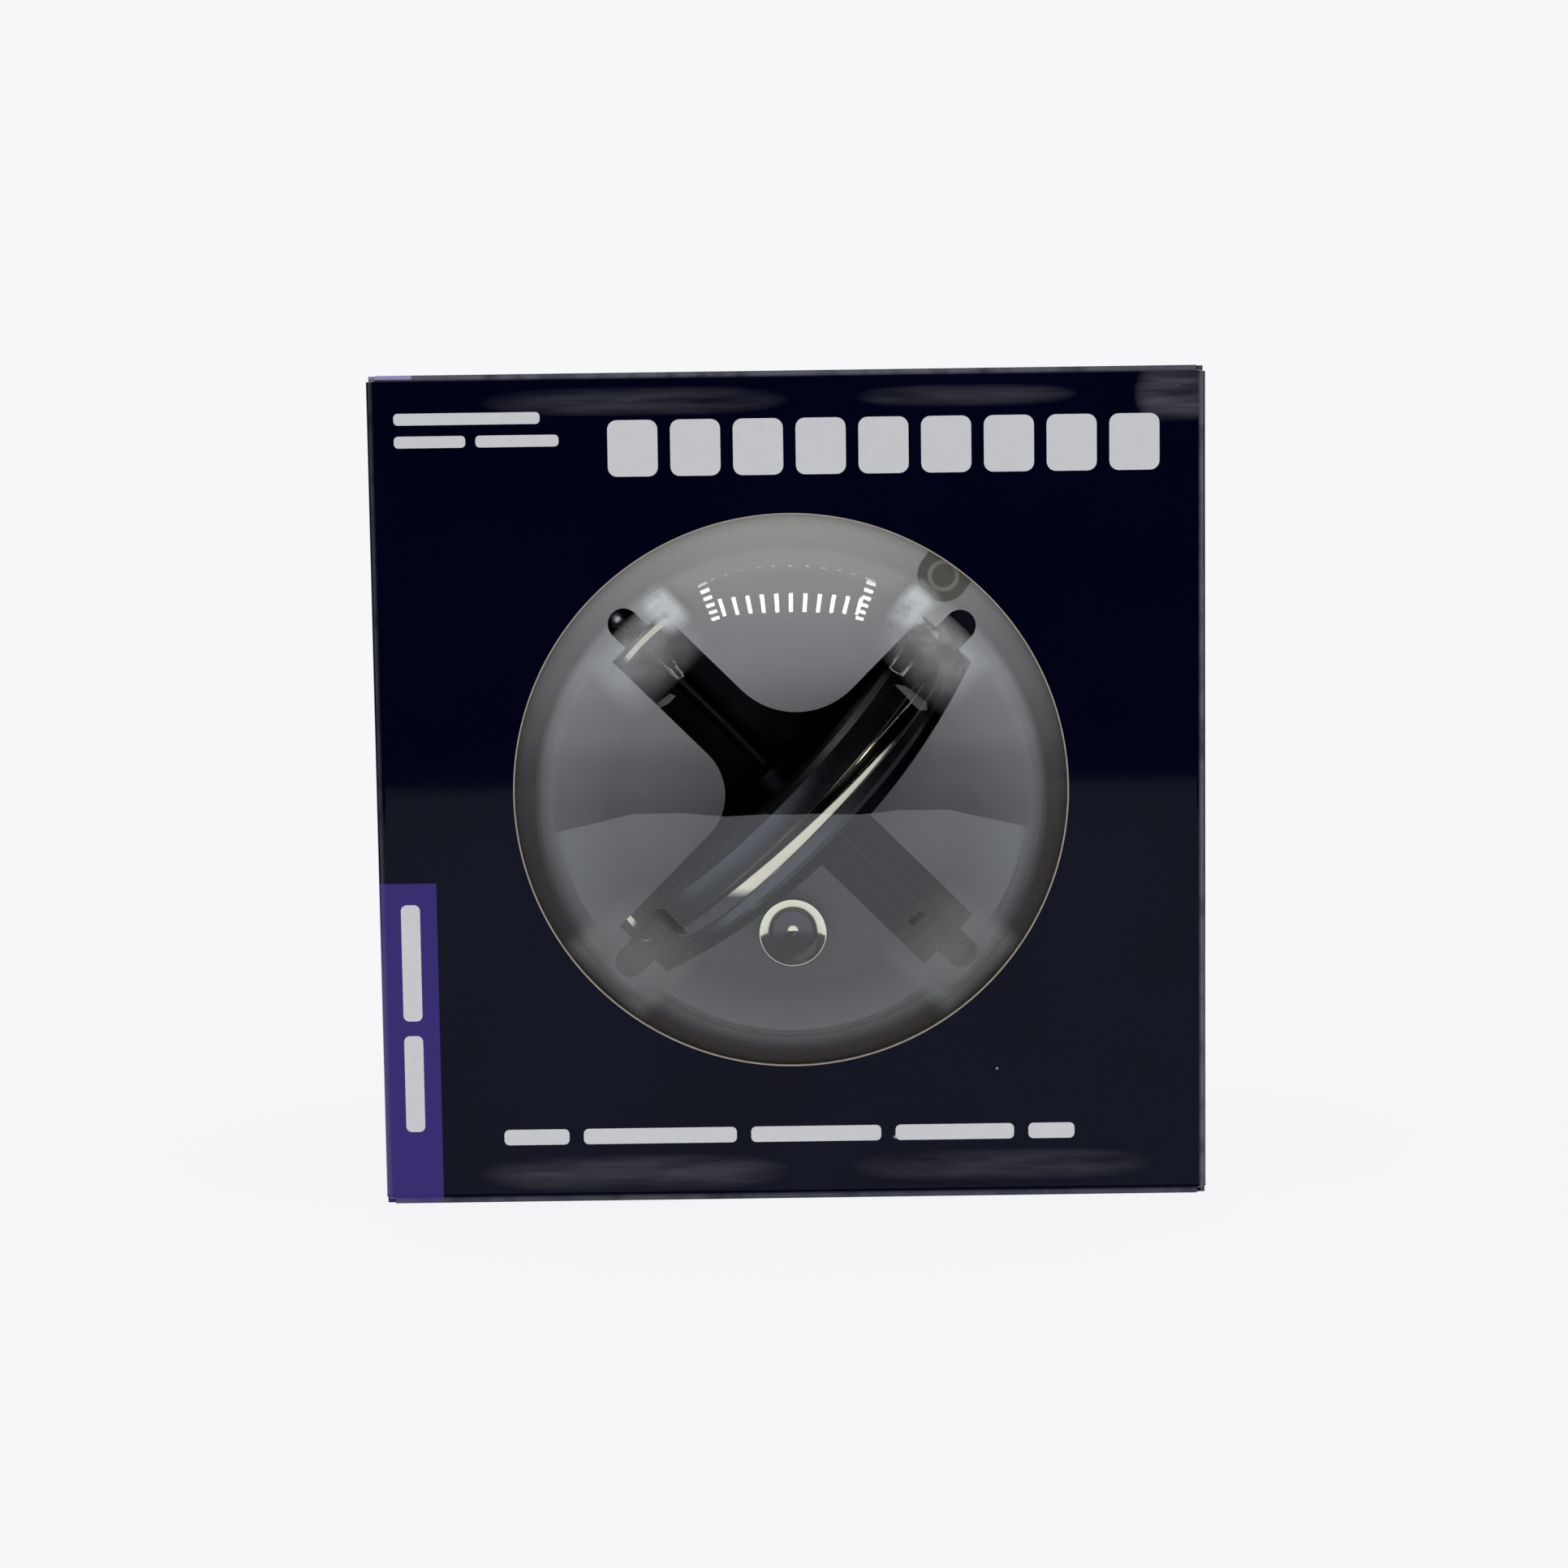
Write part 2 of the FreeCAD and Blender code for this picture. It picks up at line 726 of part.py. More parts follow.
def build_rivets():
    """Two rivets join the rings where they cross, at the gyroscope's two sides."""
    inside = f"{AXLE_RING_INSIDE} - rivet_head_height"
    outside = f"{GUARD_RADIUS} - ring_gap"
    rivets = []
    for number, angle in enumerate((-90, 90), start=1):
        rivet = turned(
            f"rivet_{number}",
            [
                ("0", inside),
                ("rivet_head_radius", inside),
                ("rivet_head_radius", f"{inside} + rivet_head_height - ring_gap"),
                ("rivet_radius", f"{inside} + rivet_head_height - ring_gap"),
                ("rivet_radius", outside),
                ("0", outside),
            ],
        )
        rivet.Placement = moved(turn=FreeCAD.Rotation(vector(1, 0, 0), angle))
        rivets.append(rivet)
    group = doc.addObject("Part::Compound", "rivet_pair")
    group.Links = rivets
    node(group, "ring_rivets", GYRO)


def build_flywheel():
    rim = turned(
        "rim",
        [
            (RIM_INSIDE, "rim_edge"),
            (f"{RIM_INSIDE} + rim_edge", "0"),
            (f"{RIM_RADIUS} - rim_edge", "0"),
            (RIM_RADIUS, "rim_edge"),
            (RIM_RADIUS, "rim_width - rim_edge"),
            (f"{RIM_RADIUS} - rim_edge", "rim_width"),
            (f"{RIM_INSIDE} + rim_edge", "rim_width"),
            (RIM_INSIDE, "rim_width - rim_edge"),
        ],
    )
    node(rim, "flywheel_rim", along_axle(-size("rim_width") / 2))
    web = turned(
        "web",
        [
            ("hub_radius", "0"),
            (RIM_INSIDE, "0"),
            (RIM_INSIDE, "web_thickness"),
            ("hub_radius", "web_thickness"),
        ],
    )
    node(web, "flywheel_web", along_axle(-size("web_thickness") / 2))
    hub = turned(
        "hub",
        [
            ("axle_radius", "0"),
            ("hub_radius - hub_edge", "0"),
            ("hub_radius", "hub_edge"),
            ("hub_radius", "hub_length - hub_edge"),
            ("hub_radius - hub_edge", "hub_length"),
            ("axle_radius", "hub_length"),
        ],
    )
    node(hub, "flywheel_hub", along_axle(-size("hub_length") / 2))


def build_axle():
    """A steel axle with a cone at each end and a cross hole for the pull string."""
    ring_inside = ring_seat - size("axle_ring_thickness")
    half = ring_inside - size("pivot_stand_in") + size("pivot_cup_depth") - size("pivot_play")
    length = f"2 * {PIVOT_INNER_END} + 2 * pivot_cup_depth - 2 * pivot_play"
    bar = turned(
        "axle_bar",
        [
            ("0", "0"),
            ("axle_radius", "axle_cone_length"),
            ("axle_radius", f"{length} - axle_cone_length"),
            ("0", length),
        ],
    )
    bar.Placement = moved(0, 0, -half)
    string_hole = rod(
        "string_hole",
        "string_hole_radius",
        "4 * axle_radius",
        moved(0, 2 * size("axle_radius"), size("string_hole_place"), LYING),
    )
    node(cut("axle_drilled_bar", bar, string_hole), "axle", GYRO)


def build_pivots():
    """Each pivot screw holds one cone of the axle in its cupped end, and is locked by a nut."""
    flip = FreeCAD.Rotation(vector(1, 0, 0), 180)
    nuts = []
    for side, turn in (("upper", FreeCAD.Rotation()), ("lower", flip)):
        screw = turned(
            f"pivot_{side}",
            [
                ("0", f"{PIVOT_INNER_END} + pivot_cup_depth"),
                ("pivot_cup_depth", PIVOT_INNER_END),
                ("pivot_radius", PIVOT_INNER_END),
                ("pivot_radius", PIVOT_OUTER_END),
                ("0", PIVOT_OUTER_END),
            ],
        )
        node(screw, f"pivot_screw_{side}", along_axle(0, turn))
        nut_seat = ring_seat + size("nut_gap")
        nut = doc.addObject("Part::Prism", f"nut_{side}")
        nut.Polygon = 6
        bind(nut, Circumradius="nut_radius", Height="nut_height")
        nut.Placement = FreeCAD.Placement(turn.multVec(vector(0, 0, nut_seat)), turn)
        thread_start = turn.multVec(vector(0, 0, nut_seat - size("nut_height")))
        thread = rod(
            f"nut_thread_{side}",
            "pivot_radius + hole_gap",
            "3 * nut_height",
            FreeCAD.Placement(thread_start, turn),
        )
        nuts.append(cut(f"nut_{side}_threaded", nut, thread))
    group = doc.addObject("Part::Compound", "nut_pair")
    group.Links = nuts
    node(group, "pivot_lock_nuts", GYRO)


def build_ends():
    """The ball foot stands in the stand's cup; the slotted tip rides on a string."""
    ball = doc.addObject("Part::Sphere", "foot_ball")
    bind(ball, Radius="foot_radius")
    ball.Placement = moved(0, 0, size("end_reach") - size("foot_radius"))
    socket = rod(
        "foot_socket",
        "pivot_radius + hole_gap",
        "2 * foot_radius - pivot_end_cover + hole_gap",
        moved(0, 0, size("end_reach") - 2 * size("foot_radius")),
    )
    node(cut("foot", ball, socket), "ball_foot", GYRO)

    flip = FreeCAD.Rotation(vector(1, 0, 0), 180)
    knob = turned(
        "tip_knob",
        [
            ("0", "end_reach - tip_length"),
            ("tip_radius", "end_reach - tip_length"),
            ("tip_radius", "end_reach - tip_edge"),
            ("tip_radius - tip_edge", "end_reach"),
            ("0", "end_reach"),
        ],
    )
    tip_socket = rod(
        "tip_socket",
        "pivot_radius + hole_gap",
        "tip_length - pivot_end_cover + 2 * hole_gap",
        moved(0, 0, size("end_reach") - size("tip_length") - size("hole_gap")),
    )
    slot = box("tip_slot", "4 * tip_radius", "slot_width", "2 * slot_depth")
    slot.setExpression("Placement.Base.x", formula("0 - 2 * tip_radius"))
    slot.setExpression("Placement.Base.y", formula("0 - slot_width / 2"))
    slot.setExpression("Placement.Base.z", formula("end_reach - slot_depth"))
    node(cut("tip", knob, tip_socket, slot), "slotted_tip", along_axle(0, flip))


# ---------------------------------------------------------------- stand

def build_stand():
    """Stored lying along the depth: its base against the back panel, its cup through the card."""
    place = moved(0, back - board, stand_z, FACING)
    card_face = "carton_depth - 2 * board - dome_sheet"
    cup_seat = f"{card_face} + crease_gap"
    column_top = f"{cup_seat} - cup_neck_length"
    base = turned(
        "stand_disc",
        [
            ("0", "0"),
            ("base_radius", "0"),
            ("base_radius", "base_thickness - base_edge"),
            ("base_radius - base_edge", "base_thickness"),
            ("0", "base_thickness"),
        ],
    )
    node(base, "stand_base", place)
    column = turned(
        "stand_post",
        [
            ("0", "base_thickness"),
            ("flare_radius", "base_thickness"),
            ("flare_foot_radius", "base_thickness + flare_foot_height"),
            ("flare_neck_radius", "base_thickness + flare_neck_height"),
            ("column_radius", "base_thickness + flare_length"),
            ("column_radius", column_top),
            ("0", column_top),
        ],
    )
    node(column, "stand_column", place)
    rim_top = f"{cup_seat} + cup_rim_height"
    cup = turned(
        "stand_socket",
        [
            ("0", column_top),
            ("cup_neck_radius", column_top),
            ("cup_neck_radius", cup_seat),
            ("cup_rim_radius", cup_seat),
            ("cup_rim_radius", f"{rim_top} - cup_rim_edge"),
            ("cup_rim_radius - cup_rim_edge", rim_top),
            ("cup_mouth_radius", rim_top),
            ("cup_floor_radius", f"{rim_top} - cup_rim_height"),
            ("cup_floor_radius", f"{rim_top} - cup_depth"),
            ("dimple_radius", f"{rim_top} - cup_depth"),
            ("0", f"{rim_top} - cup_depth - dimple_depth"),
        ],
    )
    node(cup, "stand_cup", place)


# ---------------------------------------------------------------- build and write

def check(features):
    """Stops if any feature failed, or a sub-part is empty or not a valid solid."""
    for feature in doc.Objects:
        if "Invalid" in feature.State or "Error" in feature.State:
            raise RuntimeError(f"{feature.Name} failed: {feature.State}")
    for feature in features:
        shape = feature.Shape
        if shape.isNull() or not shape.isValid() or not shape.Solids:
            raise RuntimeError(f"{feature.Label} has no valid solid")


build_carton_walls()
build_carton_bottom()
build_carton_top()
build_tuck_flap()
build_dome()
build_card()
build_tray()
build_rings()
build_rivets()
build_flywheel()
build_axle()
build_pivots()
build_ends()
build_stand()
doc.recompute()
check(NODES)
os.makedirs("parts", exist_ok=True)
for feature in NODES:
    feature.Shape.exportStep(f"parts/{feature.Label}.step")
    print(f"{feature.Label:22s} {len(feature.Shape.Solids)} solid(s) {feature.Shape.Volume:10.2f} mm3")
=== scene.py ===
# %% [markdown]
# # A gyroscope set in its window carton
# The carton, the clear dome, the card, the tray, the gyroscope and its stand come from the CAD frame as
# separate nodes. This lesson gives each of them the finish of its real material, makes the printed and
# formed details that are too fine or too soft for CAD, and lights the set like a product on a pale table.
# Everything is in metres, and the origin is the middle of the carton's base.

# %% Load the frame
import bpy
import bmesh
import json
import math
from mathutils import Matrix, Vector


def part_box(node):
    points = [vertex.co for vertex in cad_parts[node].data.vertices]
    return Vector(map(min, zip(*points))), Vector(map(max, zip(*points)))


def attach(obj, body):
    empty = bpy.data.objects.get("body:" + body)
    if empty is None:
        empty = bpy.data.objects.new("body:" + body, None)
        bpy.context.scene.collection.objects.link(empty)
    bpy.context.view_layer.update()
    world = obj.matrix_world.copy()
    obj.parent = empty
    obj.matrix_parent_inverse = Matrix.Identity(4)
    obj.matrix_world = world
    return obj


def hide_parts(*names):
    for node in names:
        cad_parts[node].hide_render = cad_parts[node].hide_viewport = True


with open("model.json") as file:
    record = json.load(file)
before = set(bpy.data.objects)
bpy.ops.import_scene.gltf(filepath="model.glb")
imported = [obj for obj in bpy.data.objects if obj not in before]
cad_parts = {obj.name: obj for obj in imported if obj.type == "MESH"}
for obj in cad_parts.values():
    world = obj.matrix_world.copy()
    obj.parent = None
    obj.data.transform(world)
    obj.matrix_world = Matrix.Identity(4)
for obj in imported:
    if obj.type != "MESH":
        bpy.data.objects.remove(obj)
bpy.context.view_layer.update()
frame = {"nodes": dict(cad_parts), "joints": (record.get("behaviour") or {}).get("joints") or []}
nodes = frame["nodes"]
MM = 0.001
# the carton's front, its round window and the dome, in millimetres
FRONT, FLANGE, CARD_FACE = -33.0, -32.4, -32.0
WINDOW_RADIUS, WINDOW_HEIGHT, DOME_HEIGHT = 33.3, 49.7, 48.4

# %% [markdown]
# ## Camera
# The set stands square to the viewer and a little below eye level. A camera can be placed by hand, or its
# three axes can be written out, which also holds a small roll. The axes are used here: forward first, then
# right and up at right angles to it, turned by the roll.

# %% Camera
EYE = Vector((-1.1, -398.0, 85.6)) * MM
LOOK_DOWN = math.radians(5.45)
ROLL = math.radians(0.79)

forward = Vector((0, math.cos(LOOK_DOWN), -math.sin(LOOK_DOWN)))
level_right = forward.cross(Vector((0, 0, 1))).normalized()
level_up = level_right.cross(forward)
right = level_right * math.cos(ROLL) - level_up * math.sin(ROLL)
up = level_up * math.cos(ROLL) + level_right * math.sin(ROLL)
camera_data = bpy.data.cameras.new("camera")
camera_data.lens = 70
camera_data.sensor_width = 36
camera_data.clip_start = 0.01
camera_data.shift_x, camera_data.shift_y = 0.0014, -0.0005
camera = bpy.data.objects.new("camera", camera_data)
bpy.context.scene.collection.objects.link(camera)
turn = Matrix((right, up, -forward)).transposed().to_4x4()
camera.matrix_world = Matrix.Translation(EYE) @ turn
bpy.context.scene.camera = camera
bpy.context.scene.view_settings.view_transform = "Standard"
print("camera at", tuple(round(v, 4) for v in camera.location))

# %% [markdown]
# ## Helpers for materials
# Every finish below is a small graph of shader nodes. One function turns an sRGB hex colour into the linear
# values that sockets hold, and one adds a node with its settings and links and hands back an output. A graph
# could also be built by hand in the Shader Editor; in code each number stays next to the reason for it.

# %% Material helpers
def colour(code):
    """An sRGB hex colour as linear values with alpha 1."""
    parts = [int(code[i:i + 2], 16) / 255 for i in (1, 3, 5)]
    return tuple(v / 12.92 if v <= 0.04045 else ((v + 0.055) / 1.055) ** 2.4 for v in parts) + (1.0,)


def add(tree, kind, inputs=None, out=0, **settings):
    """Adds a node, sets it, links or fills its inputs, and returns one of its outputs."""
    made = tree.nodes.new(kind)
    for name, value in settings.items():
        setattr(made, name, value)
    for socket, value in (inputs or {}).items():
        if isinstance(value, bpy.types.NodeSocket):
            tree.links.new(value, made.inputs[socket])
        else:
            made.inputs[socket].default_value = value
    return made.outputs[out]


def in_millimetres(tree):
    """The object's own coordinates in millimetres."""
    metres = add(tree, "ShaderNodeTexCoord", out=3)
    return add(tree, "ShaderNodeVectorMath", {0: metres, 1: (1000, 1000, 1000)}, operation="MULTIPLY")


def start_material(name, **fixed):
    """A material with one Principled shader. Returns it with its tree, shader and millimetre coordinates."""
    material = bpy.data.materials.new(name)
    material.use_nodes = True
    tree = material.node_tree
    shader = tree.nodes["Principled BSDF"]
    for socket, value in fixed.items():
        shader.inputs[socket.replace("_", " ")].default_value = value
    return material, tree, shader, in_millimetres(tree)


def bare_material(name):
    """A material without nodes, for shaders other than Principled. Returns it with its tree."""
    material = bpy.data.materials.new(name)
    material.use_nodes = True
    material.node_tree.nodes.clear()
    return material, material.node_tree


def to_surface(tree, shader):
    """Links a shader to the material's output."""
    out = tree.nodes.new("ShaderNodeOutputMaterial")
    tree.links.new(shader, out.inputs[0])


MIX_COLOURS = {"out": 2, "data_type": "RGBA"}


def region(tree, *limits):
    """A mask that is 1 where every length has passed its limit. A limit is (length, start, end)."""
    mask = 1.0
    for length, start, end in limits:
        step = add(tree, "ShaderNodeMapRange", {0: length, 1: start, 2: end})
        mask = add(tree, "ShaderNodeMath", {0: mask, 1: step}, operation="MULTIPLY")
    return mask


def from_middle(tree, place, height):
    """The distance from an axis that runs from front to back at a height."""
    centred = add(tree, "ShaderNodeVectorMath", {0: place, 1: (0, 0, -height)}, operation="ADD")
    flat = add(tree, "ShaderNodeVectorMath", {0: centred, 1: (1, 0, 1)}, operation="MULTIPLY")
    return add(tree, "ShaderNodeVectorMath", {0: flat}, out=1, operation="LENGTH")


def dress(material, *names):
    """Gives CAD nodes a material."""
    for name in names:
        slots = nodes[name].data.materials
        slots.clear()
        slots.append(material)
    print(material.name, "on", ", ".join(names))


def new_object(name, shape, material, smooth=False):
    """Turns a bmesh into an object at the origin with one material."""
    if smooth:
        bmesh.ops.recalc_face_normals(shape, faces=shape.faces)
    for face in shape.faces:
        face.smooth = smooth
    mesh = bpy.data.meshes.new(name)
    shape.to_mesh(mesh)
    shape.free()
    mesh.materials.append(material)
    piece = bpy.data.objects.new(name, mesh)
    bpy.context.scene.collection.objects.link(piece)
    print(name, "made,", len(mesh.polygons), "faces")
    return piece


# %% [markdown]
# ## The carton's board
# The carton is folded from one blank of paperboard, printed black and covered with a thin glossy film. It
# could be one black shader, but the same board also shows its uncoated grey inside and, round the window, its
# cut edge. So masks made from the object's coordinates pick the film side, the bare side and the cut edge.
# The film gives back only a little of what it faces, more at a glancing angle. At the folds it is rubbed
# rougher, and a thin lighter line there is a painted highlight of the rounded edge. Soft lighter patches near
# the top and foot of the front are painted highlights, where the gently curved board mirrors lamps and table.

# %% Laminated board
# painted highlights on the front, where the curved board mirrors the lamps and the table: x from, x to, z
# middle, half height, how strong
PAINTED_FRONT_HIGHLIGHTS = (
    (-34.0, -2.0, 96.6, 1.3, 0.42),
    (10.0, 33.0, 96.8, 1.0, 0.4),
    (42.0, 50.4, 96.8, 2.6, 0.9),
    (-36.0, -3.0, 3.4, 1.7, 0.5),
    (9.0, 41.0, 3.8, 1.5, 0.4),
)


def painted_highlight_mask(tree, x, y, z):
    """A mask of soft ellipses on the front, where a highlight is painted into the colour."""
    total = 0.0
    for left, right_end, middle, half, share in PAINTED_FRONT_HIGHLIGHTS:
        centre = (left + right_end) / 2
        along = add(tree, "ShaderNodeMapRange",
                    {0: x, 1: centre - 50, 2: centre + 50, 3: -100 / (right_end - left),
                     4: 100 / (right_end - left)}, clamp=False)
        up_way = add(tree, "ShaderNodeMapRange",
                     {0: z, 1: middle - 50, 2: middle + 50, 3: -50 / half, 4: 50 / half}, clamp=False)
        long_part = add(tree, "ShaderNodeMath", {0: along, 1: 4.0}, operation="POWER")
        tall_part = add(tree, "ShaderNodeMath", {0: up_way, 1: up_way, 2: long_part}, operation="MULTIPLY_ADD")
        spot = add(tree, "ShaderNodeMapRange", {0: tall_part, 1: 1.8, 2: 0.1, 3: 0.0, 4: share})
        total = add(tree, "ShaderNodeMath", {0: total, 1: spot}, operation="MAXIMUM")
    near_front = region(tree, (y, FRONT + 0.5, FRONT + 0.3))
    return add(tree, "ShaderNodeMath", {0: total, 1: near_front}, operation="MULTIPLY")


def laminated_board(name, film_mask):
    """Black printed paperboard under film. film_mask builds the mask of its film side."""
    material, tree, shader, place = start_material(name, Specular_IOR_Level=0.095)
    x, y, z = add(tree, "ShaderNodeSeparateXYZ", {0: place}).node.outputs
    # ink that varies a little from place to place, in patches of about 20 mm
    patches = add(tree, "ShaderNodeTexNoise", {"Vector": place, "Scale": 0.05, "Detail": 3.0})
    ink = add(tree, "ShaderNodeMix", {0: patches, 6: colour("#010210"), 7: colour("#04061C")}, **MIX_COLOURS)
    # the violet band at the lower left, which runs on round the fold for 9 mm
    band = region(tree, (x, -42.9, -43.0), (z, 39.25, 39.15), (y, -24.0, -24.1))
    # and a small violet patch on the lid, which shows as a line at the top edge
    patch = region(tree, (x, -44.4, -44.5), (z, 99.5, 99.6), (y, -24.0, -24.1))
    ink = add(tree, "ShaderNodeMix", {0: band, 6: ink, 7: colour("#34296F")}, **MIX_COLOURS)
    # painted highlight of the rounded folds, where the film is also rubbed rougher: half a millimetre wide,
    # where two outer faces are near, most of all right and top
    near = -1.0
    for length, start, end, share in (
        (x, 49.0, 49.4, 1.0), (x, -49.1, -49.8, 0.6), (z, 99.25, 99.6, 0.9), (z, 0.8, 0.4, 0.6),
        (y, -32.4, -32.7, 1.0), (y, 32.4, 32.7, 1.0),
    ):
        face = add(tree, "ShaderNodeMapRange", {0: length, 1: start, 2: end, 3: 0.0, 4: share})
        near = add(tree, "ShaderNodeMath", {0: near, 1: face}, operation="ADD")
    rub = add(tree, "ShaderNodeTexNoise", {"Vector": place, "Scale": 0.35, "Detail": 6.0})
    fold_highlight_and_wear = region(tree, (near, 0.0, 1.0), (rub, 0.1, 0.55))
    # painted highlight: the fold colour is lightened, standing in for light caught by the rounded edge
    ink = add(tree, "ShaderNodeMix", {0: fold_highlight_and_wear, 6: ink, 7: colour("#5A5B65")}, **MIX_COLOURS)
    ink = add(tree, "ShaderNodeMix", {0: patch, 6: ink, 7: colour("#8E89B4")}, **MIX_COLOURS)
    # painted highlights on the front, broken up by fine streaks along the board
    streaks = add(tree, "ShaderNodeVectorMath", {0: place, 1: (0.12, 1.0, 1.2)}, operation="MULTIPLY")
    streak = add(tree, "ShaderNodeTexNoise", {"Vector": streaks, "Scale": 0.8, "Detail": 4.0})
    haze = region(tree, (painted_highlight_mask(tree, x, y, z), 0.0, 1.0), (streak, 0.2, 0.65))
    ink = add(tree, "ShaderNodeMix", {0: haze, 6: ink, 7: colour("#4F4F57")}, **MIX_COLOURS)
    # dust: specks under half a millimetre, far apart
    dust = add(tree, "ShaderNodeTexVoronoi", {"Vector": place, "Scale": 0.11}, out=0)
    speck = add(tree, "ShaderNodeMath", {0: dust, 1: 0.022}, operation="LESS_THAN")
    ink = add(tree, "ShaderNodeMix", {0: speck, 6: ink, 7: colour("#8A8E9A")}, **MIX_COLOURS)
    # bare board: its pulp is a warm grey with short fibres
    fibres = add(tree, "ShaderNodeTexNoise", {"Vector": place, "Scale": 1.6, "Detail": 8.0})
    bare = add(tree, "ShaderNodeMix", {0: fibres, 6: colour("#8B8378"), 7: colour("#B5ADA1")}, **MIX_COLOURS)
    film = film_mask(tree, place, x, y, z)
    base = add(tree, "ShaderNodeMix", {0: film, 6: bare, 7: ink}, **MIX_COLOURS)
    tree.links.new(base, shader.inputs["Base Color"])
    rough = add(tree, "ShaderNodeMapRange", {0: film, 1: 0.0, 2: 1.0, 3: 0.85, 4: 0.045})
    wear = add(tree, "ShaderNodeMath", {0: fold_highlight_and_wear, 1: 0.3, 2: rough}, operation="MULTIPLY_ADD")
    tree.links.new(wear, shader.inputs["Roughness"])
    # the film follows the board's slow waves, 12 mm apart and a few micrometres high
    waves = add(tree, "ShaderNodeTexNoise", {"Vector": place, "Scale": 0.08, "Detail": 1.0})
    bump = add(tree, "ShaderNodeBump", {"Height": waves, "Strength": 0.02, "Distance": 0.0002})
    tree.links.new(bump, shader.inputs["Normal"])
    return material


def outer_film(tree, place, x, y, z):
    """The film side of the carton's outer walls: all but the inside and the window's cut edge."""
    across = add(tree, "ShaderNodeMath", {0: x}, operation="ABSOLUTE")
    deep = add(tree, "ShaderNodeMath", {0: y}, operation="ABSOLUTE")
    height = add(tree, "ShaderNodeMath", {0: z, 1: -50.0}, operation="ADD")
    tall = add(tree, "ShaderNodeMath", {0: height}, operation="ABSOLUTE")
    sides = add(tree, "ShaderNodeMath",
                {0: region(tree, (across, 49.45, 49.55)), 1: region(tree, (deep, 32.45, 32.55))},
                operation="MAXIMUM")
    walls = add(tree, "ShaderNodeMath", {0: sides, 1: region(tree, (tall, 49.45, 49.55))}, operation="MAXIMUM")
    radius = from_middle(tree, place, WINDOW_HEIGHT)
    past_edge = region(tree, (radius, WINDOW_RADIUS + 0.1, WINDOW_RADIUS + 0.14))
    behind = region(tree, (y, FRONT + 1.0, FRONT + 1.1))
    kept = add(tree, "ShaderNodeMath", {0: past_edge, 1: behind}, operation="MAXIMUM")
    return add(tree, "ShaderNodeMath", {0: walls, 1: kept}, operation="MULTIPLY")


def flap_film(axis, start, end):
    """The film side of a flap, found by the way its surface faces."""
    def mask(tree, place, x, y, z):
        facing = add(tree, "ShaderNodeTexCoord", out=1)
        part = add(tree, "ShaderNodeSeparateXYZ", {0: facing}, out=axis)
        return region(tree, (part, start, end))
    return mask


dress(
    laminated_board("laminated_paperboard", outer_film),
    "front_panel", "back_panel", "left_side_panel", "right_side_panel", "bottom_panel", "lid_panel",
)
dress(laminated_board("laminated_tuck_flap", flap_film(1, -0.4, -0.6)), "lid_tuck_flap")
dress(laminated_board("laminated_dust_flap", flap_film(2, 0.4, 0.6)), "dust_flap_left", "dust_flap_right")

# %% [markdown]
# ## Uncoated board
# The glued flaps show the bare side of the blank: a warm grey pulp with short fibres and no gloss.

# %% Greyboard
def greyboard():
    material, tree, shader, place = start_material("uncoated_greyboard", Roughness=0.9)
    fibres = add(tree, "ShaderNodeTexNoise", {"Vector": place, "Scale": 1.6, "Detail": 8.0})
    pulp = add(tree, "ShaderNodeMix", {0: fibres, 6: colour("#8B8378"), 7: colour("#A9A196")}, **MIX_COLOURS)
    tree.links.new(pulp, shader.inputs["Base Color"])
    bump = add(tree, "ShaderNodeBump", {"Height": fibres, "Strength": 0.2, "Distance": 0.00005})
    tree.links.new(bump, shader.inputs["Normal"])
    return material


dress(greyboard(), "glue_flap", "bottom_flap_left", "bottom_flap_right")

# %% [markdown]
# ## The grey card
# A thin printed card holds the view together. Its grey isn't even: it carries painted light, pale at the top
# of the window and darker to the foot and the rim. A flat grey would lose that, so the painted shade is a
# ramp over the height, dimmed again outside the dome.

# %% Printed card
# height on the card in millimetres, and the card's grey there with painted light, paler towards the top
CARD_LIGHT_RAMP = ((16.0, "#2F2B2D"), (24.0, "#353335"), (34.0, "#3F3F42"), (47.0, "#555659"), (52.0, "#606164"),
               (58.0, "#77787A"), (66.0, "#8C8D90"), (84.0, "#A2A29D"))


